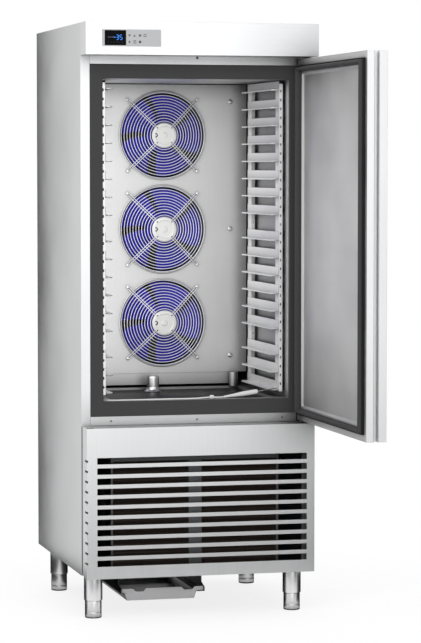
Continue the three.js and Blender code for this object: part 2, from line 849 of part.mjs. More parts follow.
// A wire guard, drawn flat: rings joined by four spokes at 45 degrees, each ending in a
// round tab beyond the outer ring. The flat drawing is then domed towards the hub.
function guardGeometry() {
  const quarterSteps = 3;
  const outerRadius = fanRadius + wireWidth / 2;
  const tabRadius = spokeWidth / 2 + 1;
  const outline = [];
  for (let spoke = 0; spoke < 4; spoke += 1) {
    const middle = 45 + 90 * spoke;
    const half = THREE.MathUtils.radToDeg(Math.asin(spokeWidth / 2 / outerRadius));
    const turn = degrees(middle);
    const [along, across] = [
      [Math.cos(turn), Math.sin(turn)],
      [-Math.sin(turn), Math.cos(turn)],
    ];
    const tab = arc(tabRadius, -90, 90, 3).map(([out, side]) => [
      (spokeReach + out) * along[0] + side * across[0],
      (spokeReach + out) * along[1] + side * across[1],
    ]);
    outline.push(...tab);
    outline.push(...arc(outerRadius, middle + half, middle + 90 - half, quarterSteps));
  }
  const centreSides = 16;
  const centreRadius = (motorRadius + seam) / Math.cos(Math.PI / centreSides);
  const holes = [arc(centreRadius, 360, 360 / centreSides, centreSides - 1)];
  for (let gap = 0; gap < ringCount - 1; gap += 1) {
    const low = hubRing + gap * ringPitch + wireWidth / 2;
    const high = low + ringPitch - wireWidth;
    for (let spoke = 0; spoke < 4; spoke += 1) {
      const clear = (radius) =>
        THREE.MathUtils.radToDeg(Math.asin(spokeWidth / 2 / radius));
      const start = 45 + 90 * spoke;
      holes.push([
        ...arc(low, start + clear(low), start + 90 - clear(low), quarterSteps),
        ...arc(high, start + 90 - clear(high), start + clear(high), quarterSteps),
      ]);
    }
  }
  const guard = flatExtrusion(shapeOf(outline, holes), grilleThickness);
  guard.rotateX(Math.PI / 2);
  const places = guard.attributes.position;
  for (let at = 0; at < places.count; at += 1) {
    const radius = Math.hypot(places.getX(at), places.getZ(at));
    const inward = THREE.MathUtils.clamp((fanRadius - radius) / (fanRadius - hubRing), 0, 1);
    const outward = THREE.MathUtils.clamp((radius - fanRadius) / (spokeReach - fanRadius), 0, 1);
    const lift = grilleEdgeLift + inward * (grilleHubLift - grilleEdgeLift);
    const seat = lift + outward * (grilleThickness + seam - grilleEdgeLift);
    places.setY(at, places.getY(at) + grilleThickness - seat);
  }
  return guard;
}

// A pitched blade: a sector of the fan's disc, sheared along the axis as it goes round.
function bladeSolid(start, span, pitchLength) {
  const steps = 4;
  const tipLag = 8;
  const root = hubRadius - 4;
  const sector = [
    ...arc(root, start, start + bladeSweep, steps),
    ...arc(span, start + bladeSweep + tipLag, start + tipLag, steps),
  ];
  const blade = flatExtrusion(shapeOf(sector), bladeThickness).rotateX(Math.PI / 2);
  const places = blade.attributes.position;
  for (let at = 0; at < places.count; at += 1) {
    const angle = THREE.MathUtils.radToDeg(Math.atan2(places.getZ(at), places.getX(at)));
    const round = THREE.MathUtils.euclideanModulo(angle - start + 90, 360) - 90;
    places.setY(at, places.getY(at) + bladeThickness + (round / bladeSweep) * pitchLength);
  }
  return solid(blade);
}

// The rotor is drawn about the Y axis, with its front at zero.
function rotorSolid(length, bladeFront) {
  let rotor = rodY(0, 0, 0, length, hubRadius, 20);
  for (let blade = 0; blade < bladeCount; blade += 1) {
    const start = (360 / bladeCount) * blade;
    rotor = rotor.add(bladeSolid(start, bladeSpan, bladePitch).translate([0, bladeFront, 0]));
  }
  return rotor.subtract(rodY(0, 0, -reach, length + reach, shaftRadius + seam, 12));
}

function addFan(name, height) {
  const guardFront = platePlace - grilleHubLift;
  const motorFront = guardFront - seam - motorCapThickness;
  const motorRear = motorFront + motorCapThickness + motorLength;
  const rotorFront = motorRear + rotorGap;
  const rotorRear = rotorFront + hubLength;
  const guard = guardGeometry().translate(fanX, platePlace, height);
  addSolid(cabinet, `fan_grille_${name}`, solid(guard), whiteWire);

  const motor = join(
    rodY(fanX, height, motorFront, motorFront + motorCapThickness, motorCapRadius),
    rodY(fanX, height, motorFront + motorCapThickness / 2, motorRear, motorRadius),
    rodY(fanX, height, motorRear - reach, rotorRear - reach, shaftRadius, 12),
  );
  addSolid(cabinet, `fan_motor_${name}`, motor, greyPlastic);

  const bladeFront = platePlace + bladeSetback - rotorFront;
  const rotor = rotorSolid(hubLength, bladeFront).translate([fanX, rotorFront, height]);
  addSolid(cabinet, `fan_rotor_${name}`, rotor, blueBlade);
}

const fanNames = ['upper', 'middle', 'lower'];
const screwHeights = [plateTop - knobDrop, (plateTop + plateBottom) / 2, plateBottom + knobDrop];

function addFanPlate() {
  const flangeRear = platePlace + plateFlange;
  let plate = cut(
    block(plateLeft, plateRight, platePlace, flangeRear, plateBottom, plateTop),
    block(plateLeft + sheet, plateRight - sheet, platePlace + sheet, flangeRear + reach,
      plateBottom - reach, plateTop - sheet),
  );
  const plateMiddle = platePlace + sheet / 2;
  for (const height of fanHeights) {
    plate = plate
      .add(rodY(fanX, height, plateMiddle, platePlace + collarDepth, fanRadius + collarWall))
      .subtract(rodY(fanX, height, platePlace - reach, platePlace + collarDepth + reach,
        fanRadius));
  }
  for (const height of screwHeights) {
    const knobX = plateRight - knobInset;
    plate = plate.add(
      rodY(knobX, height, platePlace - knobLength, plateMiddle, knobRadius, 12));
  }
  addSolid(cabinet, 'fan_plate', plate, innerSteel);
}

// ---------------------------------------------------------------------------------------
// Evaporator
// ---------------------------------------------------------------------------------------

function addEvaporator() {
  const endLeft = coilLeft + sheet + seam;
  const endRight = coilRight - sheet - seam;
  const rear = cavityRear - seam;
  const endPlate = 2;
  let coil = join(
    finBlock(endLeft + endPlate / 2, endRight - endPlate / 2, coilFront, rear - endPlate / 2,
      coilBottom, coilTop),
    block(endLeft, endLeft + endPlate, coilFront - endPlate, rear,
      coilBottom - endPlate, coilTop + endPlate),
    block(endRight - endPlate, endRight, coilFront - endPlate, rear,
      coilBottom - endPlate, coilTop + endPlate),
  );
  // Lugs of the end plates reach forward and carry the fan plate.
  for (const height of screwHeights) {
    for (const lugLeft of [endLeft, endRight - endPlate]) {
      coil = coil.add(block(lugLeft, lugLeft + endPlate, platePlace + sheet + seam,
        coilFront, height - lugHeight / 2, height + lugHeight / 2));
    }
  }
  addSolid(cabinet, 'evaporator_coil', coil, coilMetal);

  const trayFace = platePlace + sheet + seam;
  const trayWallTop = plateBottom - seam;
  const postX = coilRight - postInset;
  const tray = join(
    cut(
      block(coilLeft, coilRight, trayFace, rear, trayLip, trayWallTop),
      block(coilLeft + sheet, coilRight - sheet, trayFace + sheet, rear - sheet,
        trayLip + sheet, trayWallTop + reach),
    ),
    rodZ(postX, trayFace - postRadius + sheet / 2, cavityBottom + seam, trayWallTop,
      postRadius, 16),
  );
  addSolid(cabinet, 'evaporator_tray', tray, innerSteel);
}

// ---------------------------------------------------------------------------------------
// Tray racks
// ---------------------------------------------------------------------------------------

function runnerHeights() {
  const groupGaps = runnerGroups.length - 1;
  const runners = runnerGroups.reduce((total, group) => total + group, 0);
  const run = cavityTop - topRunnerDrop - lowestRunner;
  const runnerPitch = (run - groupGaps * runnerGap) / (runners - 1 - groupGaps);
  const heights = [];
  let height = lowestRunner;
  for (const group of runnerGroups) {
    for (let runner = 0; runner < group; runner += 1) {
      heights.push(height);
      height += runnerPitch;
    }
    height += runnerGap - runnerPitch;
  }
  return heights;
}

// A rack stands off one wall. Its distances are measured from that wall into the cavity.
function rack(fromWall) {
  const back = rackStandOff;
  const face = back + uprightDepth;
  const rackRear = rackFront + runnerLength;
  const bar = (near, far, ...rest) => {
    const [a, b] = [fromWall(near), fromWall(far)];
    return block(Math.min(a, b), Math.max(a, b), ...rest);
  };
  const upright = (y0) => cut(
    bar(back, face, y0, y0 + uprightWidth, uprightFoot, uprightHead),
    bar(back - reach, face - uprightSheet, y0 + uprightSheet,
      y0 + uprightWidth - uprightSheet, uprightFoot - reach, uprightHead + reach),
  );
  const uprightPlaces = [rackFront, rackRear - uprightWidth];
  let whole = join(...uprightPlaces.map(upright));
  for (const top of runnerHeights()) {
    const ledgeBottom = top - uprightSheet;
    whole = join(
      whole,
      bar(face - uprightSheet, face + ledgeWidth, rackFront, rackRear, ledgeBottom, top),
      bar(face - uprightSheet, face, rackFront, rackRear, ledgeBottom, top + runnerRise),
    );
  }
  // Pegs that hang the uprights on the wall.
  const pegHeights = [uprightFoot + pegDrop, uprightHead - pegDrop];
  for (const place of uprightPlaces) {
    for (const height of pegHeights) {
      const [a, b] = [fromWall(seam), fromWall(face - uprightSheet / 2)];
      whole = whole.add(rodX(place + uprightWidth / 2, height, Math.min(a, b),
        Math.max(a, b), pegRadius, 8));
    }
  }
  return whole;
}

function addRacks() {
  addSolid(cabinet, 'rack_left', rack((distance) => cavityLeft + distance), brightSteel);
  addSolid(cabinet, 'rack_right', rack((distance) => cavityRight - distance), brightSteel);
}

// ---------------------------------------------------------------------------------------
// Core probe on its cable
// ---------------------------------------------------------------------------------------

// The cable leaves a gland high on the left wall, hangs down beside it, lies along the rim
// of the cavity's floor and comes forward and round to the probe's handle.
const cableTop = cavityTop - glandDrop;
const cableFoot = [
  [79.3, 118, 762],
  [79.3, 109, 741],
  [79.3, 94, 731.5],
  [79.4, 76, 730.6],
  [80.5, 55, 730.6],
  [87, 38, 730.6],
  [101, 28, 730.6],
  [122, 25, 730.6],
];
const probeStart = [cavityRight - probeInset, 27.7, 733.9]; // where the cable enters it
const probeAim = [probeStart[0] + 207, 64, 758]; // a point that the needle looks at
const hangStart = 800; // height at which the hanging part starts to bend
const hangShares = [1, 0.972, 0.86, 0.72, 0.565, 0.407, 0.25, 0.113, 0];
const cableHang = hangShares.map((share) => [
  cableFoot[0][0],
  120,
  hangStart + share * (cableTop - hangStart),
]);
// The rest is a share of the way from the turn at the corner to the probe.
const turnEnd = cableFoot.at(-1)[0];
const floorRun = probeStart[0] - cableTip - turnEnd;
const cableFloor = [
  [0.13, 24.5, 730.6],
  [0.29, 27, 730.6],
  [0.455, 29, 730.6],
  [0.615, 27, 730.8],
  [0.75, 26, 731.4],
  [0.818, 26, 733],
  [0.875, 26, 734],
  [0.907, 26, 734],
  [0.948, 25.6, 733.3],
  [1, 27.5, 733.8],
].map(([share, y, z]) => [turnEnd + share * floorRun, y, z]);
const cableRoute = [...cableHang, ...cableFoot, ...cableFloor];
const ferrulePlace = [turnEnd + 0.875 * floorRun, 26, 734.8]; // left end of the loose sleeve

// A round body along the probe's own axis: a list of [radius, distance from the start].
function probeBody(profile, sides) {
  const start = new THREE.Vector3(...probeStart);
  const aim = new THREE.Vector3(...probeAim).sub(start).normalize();
  const turn = new THREE.Quaternion().setFromUnitVectors(new THREE.Vector3(0, 1, 0), aim);
  const points = profile.map(([radius, distance]) => new THREE.Vector2(radius, distance));
  const lathe = new THREE.LatheGeometry(points, sides).applyQuaternion(turn);
  return solid(lathe.translate(start.x, start.y, start.z));
}

function addProbe() {
  const [topX, topY, topZ] = cableRoute[0];
  const gland = block(cavityLeft + seam, cavityLeft + seam + glandDepth,
    topY - glandWidth / 2, topY + glandWidth / 2, topZ + seam, topZ + seam + glandHeight);
  addSolid(cabinet, 'probe_gland', gland, blackPlastic);

  const cableSteps = 68;
  const cable = tubeAlong(cableRoute, cableRadius, cableSteps, 8);
  addSolid(cabinet, 'probe_cable', solid(cable), whiteSilicone);

  const [ferruleX, ferruleY, ferruleZ] = ferrulePlace;
  const ferruleEnd = ferruleX + ferruleLength;
  const ferrule = cut(
    rodX(ferruleY, ferruleZ, ferruleX, ferruleEnd, ferruleRadius),
    rodX(ferruleY, ferruleZ, ferruleX - reach, ferruleEnd + reach, 2 * cableRadius),
  );
  addSolid(cabinet, 'probe_ferrule', ferrule, whitePlastic);

  const handle = probeBody([
    [0, 0],
    [handleNeck, 0],
    [handleNeck + 1, handleLength * 0.15],
    [handleRadius, handleLength * 0.6],
    [handleRadius, handleLength - 3],
    [handleRadius - 2, handleLength],
    [0, handleLength],
  ], 16);
  addSolid(cabinet, 'probe_handle', handle, whitePlastic);

  const needleStart = handleLength + seam;
  const needleTaper = 8;
  const needle = probeBody([
    [0, needleStart],
    [needleRadius, needleStart],
    [needleRadius, needleStart + needleLength - needleTaper],
    [0, needleStart + needleLength],
  ], 8);
  addSolid(cabinet, 'probe_needle', needle, brightSteel);
}

// ---------------------------------------------------------------------------------------
// Machine compartment
// ---------------------------------------------------------------------------------------

function addMachine() {
  const floor = baseTop + seam;
  const half = condenserDepth / 2;
  const frameHalf = half + 6;
  const coreLeft = condenserLeft + condenserPlate;
  const coreRight = condenserRight - condenserPlate;
  const barBottom = condenserTop - condenserBarHeight;
  const frameGirth = block(condenserLeft, condenserRight, -frameHalf, frameHalf,
    floor, condenserTop);
  const frameHole = block(coreLeft, coreRight, -frameHalf - reach, frameHalf + reach,
    floor - reach, barBottom);
  const band = block(condenserMiddle - condenserBandWidth / 2,
    condenserMiddle + condenserBandWidth / 2, -frameHalf + 1, -half + 1,
    floor + 1, barBottom + 1);
  const condenser = join(
    cut(frameGirth, frameHole),
    finBlock(coreLeft - 1, coreRight + 1, -half, half, floor + 2, barBottom + 1),
    band,
  );
  addSolid(cabinet, 'condenser_coil', condenser, finMetal);

  const axisX = condenserMiddle;
  const bladeFront = 8;
  const fanRotor = rotorSolid(hubLength, bladeFront)
    .translate([axisX, condenserFanPlaceY, condenserFanHeight]);
  addSolid(cabinet, 'condenser_fan_rotor', fanRotor, blackPaint);

  const motorFront = condenserFanPlaceY + hubLength + rotorGap;
  const motorRear = motorFront + condenserMotorLength;
  const fanMotor = join(
    rodY(axisX, condenserFanHeight, motorFront, motorRear, motorCapRadius, 20),
    rodY(axisX, condenserFanHeight, condenserFanPlaceY + reach, motorFront + reach,
      shaftRadius, 12),
    block(axisX - motorStandWidth / 2, axisX + motorStandWidth / 2,
      motorRear - motorStandSheet, motorRear, floor, condenserFanHeight),
    block(axisX - motorStandWidth, axisX + motorStandWidth,
      motorRear - motorStandWidth, motorRear, floor, floor + motorStandFoot),
  );
  addSolid(cabinet, 'condenser_fan_motor', fanMotor, blackPaint);

  const plateBottomHeight = floor + compressorLift;
  const plateTopHeight = plateBottomHeight + compressorPlate;
  const shellBottom = (plateBottomHeight + plateTopHeight) / 2;
  const compressorTop = floor + compressorHeight;
  const pads = [];
  for (const sideX of [-1, 1]) {
    for (const sideY of [-1, 1]) {
      const padX = compressorPlaceX + sideX * (compressorPlateLength / 2 - 18);
      const padY = compressorPlaceY + sideY * (compressorPlateWidth / 2 - 21);
      pads.push(rodZ(padX, padY, floor, shellBottom, compressorPadRadius, 10));
    }
  }
  const compressor = join(
    turnedZ(compressorPlaceX, compressorPlaceY, [
      [0, shellBottom],
      [compressorRadius * vesselTaper, shellBottom],
      [compressorRadius, shellBottom + compressorDome / 2],
      [compressorRadius, compressorTop - compressorDome],
      [compressorRadius * vesselTaper, compressorTop - compressorDome / 4],
      [0, compressorTop],
    ]),
    block(compressorPlaceX - compressorPlateLength / 2,
      compressorPlaceX + compressorPlateLength / 2,
      compressorPlaceY - compressorPlateWidth / 2,
      compressorPlaceY + compressorPlateWidth / 2, plateBottomHeight, plateTopHeight),
    ...pads,
  );
  addSolid(cabinet, 'compressor', compressor, blackPaint);

  const receiverTop = floor + receiverHeight;
  const receiver = turnedZ(receiverPlaceX, receiverPlaceY, [
    [0, floor],
    [receiverRadius * vesselTaper, floor],
    [receiverRadius, floor + receiverDome],
    [receiverRadius, receiverTop - receiverDome],
    [receiverRadius * vesselTaper, receiverTop],
    [0, receiverTop],
  ], 16);
  addSolid(cabinet, 'liquid_receiver', receiver, blackPaint);

  // Discharge line, from the compressor's top to the condenser's right end plate.
  const runHeight = compressorTop + pipeRise;
  const runX = condenserRight + pipeSide;
  const pipe = tubeAlong([
    [compressorPlaceX, compressorPlaceY, compressorTop + seam],
    [compressorPlaceX, compressorPlaceY, (compressorTop + runHeight) / 2],
    [(compressorPlaceX + runX) / 2, compressorPlaceY - pipeSide, runHeight],
    [runX, (compressorPlaceY + half) / 2, runHeight],
    [runX, 3 * half, runHeight],
    [runX - 2 * pipeRadius, half / 2, runHeight],
    [condenserRight + 2 * pipeRadius, 0, runHeight],
    [condenserRight + seam, 0, runHeight],
  ], pipeRadius, 26, 8);
  addSolid(cabinet, 'discharge_pipe', solid(pipe), copper);
}

// ---------------------------------------------------------------------------------------
// Legs
// ---------------------------------------------------------------------------------------

const legPlaces = {
  front_left: [legInset, frontLegPlace],
  front_right: [cabinetWidth - legInset, frontLegPlace],
  rear_left: [legInset, rearLegPlace],
  rear_right: [cabinetWidth - legInset, rearLegPlace],
};

function addLeg(name, [x, y]) {
  const legTop = legHeight - seam;
  const bore = footRadius + seam;
  const leg = cut(
    rodZ(x, y, footHeight, legTop, bore + legWall, 24),
    rodZ(x, y, footHeight - reach, legTop - legCap, bore, 24),
  );
  addSolid(cabinet, `leg_${name}`, leg, brightSteel);

  const soleChamfer = 2;
  const foot = turnedZ(x, y, [
    [0, 0],
    [footRadius - soleChamfer, 0],
    [footRadius, soleChamfer],
    [footRadius, footHeight + footHidden],
    [0, footHeight + footHidden],
  ], 24);
  addSolid(cabinet, `foot_${name}`, foot, brightSteel);
}

// ---------------------------------------------------------------------------------------
// Drip tray and its rails
// ---------------------------------------------------------------------------------------

function addDripTray() {
  const rear = trayFront + trayLength;
  const rimBottom = trayTop - sheet;
  const rimLeft = trayLeft - trayRimLeft;
  const rimRight = trayRight + trayRimRight;
  const trough = (wall, y0, y1, top) => prismY([
    [trayLeft + trayTaper + wall, trayBottom + wall],
    [trayRight - trayTaper - wall, trayBottom + wall],
    [trayRight - wall, top],
    [trayLeft + wall, top],
  ], y0, y1);
  let lip = block(rimLeft, rimRight, trayFront - sheet, trayFront, rimBottom,
    trayTop + trayFrontLip);
  for (const place of lipNotchPlaces) {
    lip = lip.subtract(prismY([
      [place - lipNotchFoot / 2, trayTop + trayFrontLip - lipNotchDepth],
      [place + lipNotchFoot / 2, trayTop + trayFrontLip - lipNotchDepth],
      [place + lipNotchWidth / 2, trayTop + trayFrontLip + seam],
      [place - lipNotchWidth / 2, trayTop + trayFrontLip + seam],
    ], trayFront - sheet - reach, trayFront + reach));
  }
  const tray = join(
    cut(
      join(
        trough(0, trayFront - sheet, rear, trayTop),
        block(rimLeft, rimRight, trayFront - sheet, rear, rimBottom, trayTop),
      ),
      trough(sheet, trayFront, rear - sheet, trayTop + reach),
    ),
    lip,
  );
  addSolid(cabinet, 'drip_tray', tray, brightSteel);

  const railTop = legHeight - seam;
  const ledgeTop = rimBottom - seam;
  const ledgeBottom = ledgeTop - railSheet;
  const railRear = rear + railSheet + reach;
  const web = [
    [railFront, ledgeBottom],
    [railRear, ledgeBottom],
    [railRear, railTop],
    [railFront + railChamfer, railTop],
    [railFront + railChamfer, trayTop + railChamfer / 2],
    [railFront, trayTop + railChamfer / 4],
  ];
  const rimGap = 2;
  const webLeft = rimLeft - rimGap;
  const webRight = rimRight + rimGap;
  const rails = join(
    prismX(web, webLeft - railSheet, webLeft),
    prismX(web, webRight, webRight + railSheet),
    block(webLeft - railSheet, trayLeft - seam, railFront, railRear, ledgeBottom, ledgeTop),
    block(trayRight + seam, webRight + railSheet, railFront, railRear, ledgeBottom, ledgeTop),
    block(webLeft - railSheet, webRight + railSheet, railRear - railSheet, railRear,
      railTop - railTieDrop, railTop),
  );
  addSolid(cabinet, 'tray_rails', rails, galvanised);
}

// ---------------------------------------------------------------------------------------
// Assembly
// ---------------------------------------------------------------------------------------

addShell();
addCell();
addFascia();
addGrillePanel();
addDoor();
addFanPlate();
fanNames.forEach((name, at) => addFan(name, fanHeights[at]));
addEvaporator();
addRacks();
addProbe();
addMachine();
for (const [name, place] of Object.entries(legPlaces)) addLeg(name, place);
addDripTray();

// Footprint of everything at rest, with the door standing open at a right angle.
const openFace = pivotX + pivotY - doorOuterFace;
const openEdge = pivotY - pivotX + doorLeft;
chiller.position.set(-openFace / 2, -(openEdge + cabinetDepth) / 2, 0);

export default chiller;
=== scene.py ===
"""Looks of a blast chiller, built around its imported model.

The object is drawn in the cabinet's own millimetres: X from its left side, Y from its front
face to the rear, Z up from the floor, with the door shut. Each finished piece is then moved
to the model's frame in metres, and the door's pieces are turned open about the hinge.
"""

import json
import math

import bmesh
import bpy
from mathutils import Matrix, Vector


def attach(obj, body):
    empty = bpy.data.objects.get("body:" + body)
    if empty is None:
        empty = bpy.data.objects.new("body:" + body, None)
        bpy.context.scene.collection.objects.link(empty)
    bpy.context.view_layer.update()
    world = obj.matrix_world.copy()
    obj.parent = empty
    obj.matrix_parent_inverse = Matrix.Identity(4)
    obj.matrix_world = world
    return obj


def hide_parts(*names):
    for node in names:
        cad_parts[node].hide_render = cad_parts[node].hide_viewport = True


bl_info = {
    "name": "Blast chiller",
    "version": (1, 0, 0),
    "blender": (4, 5, 0),
    "location": "3D View > Sidebar > Blast chiller",
    "description": "Builds the visible pieces and finishes of a blast chiller around its frame",
    "category": "Object",
}

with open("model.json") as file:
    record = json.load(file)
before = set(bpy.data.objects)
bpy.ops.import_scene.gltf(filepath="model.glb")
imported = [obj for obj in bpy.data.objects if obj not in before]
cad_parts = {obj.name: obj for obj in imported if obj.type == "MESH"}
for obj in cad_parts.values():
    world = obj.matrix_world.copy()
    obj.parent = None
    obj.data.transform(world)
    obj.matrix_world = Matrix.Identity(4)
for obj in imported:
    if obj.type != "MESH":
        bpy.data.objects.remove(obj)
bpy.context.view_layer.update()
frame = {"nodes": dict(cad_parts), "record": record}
BODY_OF = {
    node: body
    for body, nodes in frame["record"]["behaviour"]["bodies"].items()
    for node in nodes
}

# ---------------------------------------------------------------------------
# Sizes that the pieces share with the frame, in millimetres
# ---------------------------------------------------------------------------

METRE = 1000.0
CABINET_WIDTH = 790.0
CABINET_DEPTH = 790.0
CABINET_HEIGHT = 1980.0
MIDDLE = CABINET_WIDTH / 2
SHEET = 1.2
CAVITY_LEFT, CAVITY_RIGHT = 75.0, 715.0
CAVITY_REAR = 725.0
OVERLAY_FRONT = -92.3
PLATE_LEFT, PLATE_RIGHT = 81.0, 709.0
PLATE_BOTTOM, PLATE_TOP = 778.0, 1795.0
PLATE_FRONT = 545.0
FAN_X, FAN_Z = 403.0, 1286.5
FAN_PITCH = 330.0
FAN_HEIGHTS = {"upper": FAN_Z + FAN_PITCH, "middle": FAN_Z, "lower": FAN_Z - FAN_PITCH}
KNOB_HEIGHTS = (FAN_Z + 450.0, FAN_Z, FAN_Z - 450.0)
MOUTH_RADIUS = 150.0
COIL_LEFT, COIL_RIGHT = 112.0, 678.0
RACK_FRONT, RACK_REAR = 60.0, 467.0
RUNNER_TOPS = (
    [753.0 + 60.0 * step for step in range(3)]
    + [960.0 + 60.0 * step for step in range(6)]
    + [1347.0 + 60.0 * step for step in range(8)]
)
DOOR_LEFT, DOOR_RIGHT = 2.0, 778.0
DOOR_BOTTOM, DOOR_TOP = 655.0, 1865.0
DOOR_BACK = -20.0
PIVOT = Vector((755.0, -35.0, 0.0))
CONDENSER_LEFT, CONDENSER_RIGHT = 92.0, 668.0
CONDENSER_TOP = 545.0
COMPARTMENT_FLOOR = 151.5

# From the cabinet's millimetres to the model's metres, for what stands still and for the
# door, which the photograph shows open at a right angle.
TO_FRAME = Matrix.Scale(1.0 / METRE, 4) @ Matrix.Translation((-403.0, -1.0, 0.0))
DOOR_TO_FRAME = (
    TO_FRAME
    @ Matrix.Translation(PIVOT)
    @ Matrix.Rotation(math.radians(90.0), 4, "Z")
    @ Matrix.Translation(-PIVOT)
)
ALONG_X = Matrix.Rotation(math.radians(90.0), 4, "Y")
ALONG_Y = Matrix.Rotation(math.radians(-90.0), 4, "X")


# ---------------------------------------------------------------------------
# Settings that a user may change
# ---------------------------------------------------------------------------


class ChillerSizes(bpy.types.PropertyGroup):
    """Small sizes of the visible pieces, in millimetres."""

    edge_radius: bpy.props.FloatProperty(
        name="Edge radius",
        description="Rounding on the folded edges of the steel sheets, in millimetres",
        default=0.5,
        min=0.1,
        max=1.0,
    )
    guard_wire: bpy.props.FloatProperty(
        name="Guard wire",
        description="Diameter of the wires of a fan guard, in millimetres",
        default=2.6,
        min=1.0,
        max=4.0,
    )
    guard_rings: bpy.props.IntProperty(
        name="Guard rings",
        description="Number of rings in a fan guard",
        default=11,
        min=4,
        max=14,
    )
    fin_pitch: bpy.props.FloatProperty(
        name="Fin pitch",
        description="Distance from one condenser fin to the next, in millimetres",
        default=4.0,
        min=2.0,
        max=12.0,
    )
    screw_radius: bpy.props.FloatProperty(
        name="Screw head",
        description="Radius of the small screw heads, in millimetres",
        default=4.0,
        min=2.0,
        max=6.0,
    )


def colour_property(label, description, default):
    return bpy.props.FloatVectorProperty(
        name=label,
        description=description,
        subtype="COLOR",
        size=4,
        min=0.0,
        max=1.0,
        default=(*default, 1.0),
    )


class ChillerColours(bpy.types.PropertyGroup):
    """Base colours of the finishes."""

    satin_steel: colour_property(
        "Satin steel", "Outside sheets of the cabinet and the door", (0.66, 0.665, 0.67)
    )
    inner_steel: colour_property(
        "Inner steel", "Sheets of the chilling cavity", (0.6, 0.6, 0.6)
    )
    bright_steel: colour_property(
        "Bright steel", "Racks, legs, brackets and screws", (0.78, 0.78, 0.79)
    )
    frame_grey: colour_property(
        "Frame grey", "Sealing frame around the cavity's mouth", (0.062, 0.062, 0.063)
    )
    seal_grey: colour_property("Seal grey", "Rubber seal of the door", (0.06, 0.06, 0.062))
    blade_blue: colour_property("Blade blue", "Evaporator fans", (0.03, 0.02, 0.42))
    wire_white: colour_property("Wire white", "Fan guards", (0.92, 0.92, 0.97))
    digit_blue: colour_property("Digit blue", "Lit digits of the display", (0.03, 0.25, 0.9))


# ---------------------------------------------------------------------------
# Node helpers
# ---------------------------------------------------------------------------

# How often a pattern repeats, per metre, and how high its bumps are, in metres.
SMUDGE_SCALE, CLOUD_SCALE = 3.1, 7.0
DUST_SCALE, CELL_SCALE, GRAIN_SCALE = 26.0, 420.0, 900.0
STREAK_RELIEF, GRAIN_RELIEF, CELL_RELIEF = 0.0004, 0.0005, 0.001
DUST_TONE = (0.42, 0.4, 0.37, 1.0)


def add_node(tree, kind, inputs=None, **settings):
    """One node with its settings, its plain values and its links."""
    node = tree.nodes.new(kind)
    for name, value in settings.items():
        setattr(node, name, value)
    for key, value in (inputs or {}).items():
        if isinstance(value, bpy.types.NodeSocket):
            tree.links.new(value, node.inputs[key])
        else:
            node.inputs[key].default_value = value
    return node


def start_group(name, inputs, outputs):
    """A node group with named sockets: its tree, its inputs by name and its output node."""
    tree = bpy.data.node_groups.new(name, "ShaderNodeTree")
    for label, kind in inputs:
        tree.interface.new_socket(label, in_out="INPUT", socket_type="NodeSocket" + kind)
    for label, kind in outputs:
        tree.interface.new_socket(label, in_out="OUTPUT", socket_type="NodeSocket" + kind)
    given = tree.nodes.new("NodeGroupInput").outputs
    result = tree.nodes.new("NodeGroupOutput")
    return tree, given, result


def math_node(tree, operation, *values):
    return add_node(
        tree, "ShaderNodeMath", dict(enumerate(values)), operation=operation
    ).outputs[0]


def scaled_colour(tree, colour, gain):
    if not isinstance(colour, bpy.types.NodeSocket):
        colour = tuple(colour)[:3]
    return add_node(
        tree, "ShaderNodeVectorMath", {0: colour, "Scale": gain}, operation="SCALE"
    ).outputs[0]


def noise(tree, vector, scale, detail=2.0):
    inputs = {"Vector": vector, "Scale": scale, "Detail": detail, "Roughness": 0.55}
    return add_node(tree, "ShaderNodeTexNoise", inputs).outputs["Fac"]


def start_finish(name, pattern, kind):
    """The start of a finish group: its sockets, and the place on the surface."""
    tree, given, result = start_group(
        name,
        [("Tone", "Color"), (pattern, kind), ("Contrast", "Float"), ("Roughness", "Float")],
        [("Colour", "Color"), ("Roughness", "Float"), ("Height", "Float")],
    )
    return tree, given, result, add_node(tree, "ShaderNodeTexCoord").outputs["Object"]


def end_finish(tree, given, result, fine, cloud, swing):
    """Tone and roughness vary with a fine pattern and slow clouds. The fine one is raised."""
    uneven = math_node(tree, "SUBTRACT", math_node(tree, "ADD", fine, cloud), 1.0)
    gain = math_node(tree, "MULTIPLY_ADD", uneven, given["Contrast"], 1.0)
    tree.links.new(scaled_colour(tree, given["Tone"], gain), result.inputs["Colour"])
    rough = math_node(tree, "MULTIPLY_ADD", uneven, swing, given["Roughness"])
    tree.links.new(rough, result.inputs["Roughness"])
    tree.links.new(fine, result.inputs["Height"])
    return tree


def brushed_group():
    """Brushed sheet: fine streaks and faint cloudy smudges."""
    tree, given, result, spot = start_finish("brushed_finish", "Streaks", "Vector")
    drawn = add_node(
        tree, "ShaderNodeVectorMath", {0: spot, 1: given["Streaks"]}, operation="MULTIPLY"
    ).outputs[0]
    streak, smudge = noise(tree, drawn, 1.0, 3.0), noise(tree, spot, SMUDGE_SCALE)
    return end_finish(tree, given, result, streak, smudge, 0.16)


def moulded_group():
    """Moulded or painted surface: a fine pebbled grain and slow changes of tone."""
    tree, given, result, spot = start_finish("moulded_grain", "Grain", "Float")
    grain, cloud = noise(tree, spot, given["Grain"], 3.0), noise(tree, spot, CLOUD_SCALE)
    return end_finish(tree, given, result, grain, cloud, 0.25)


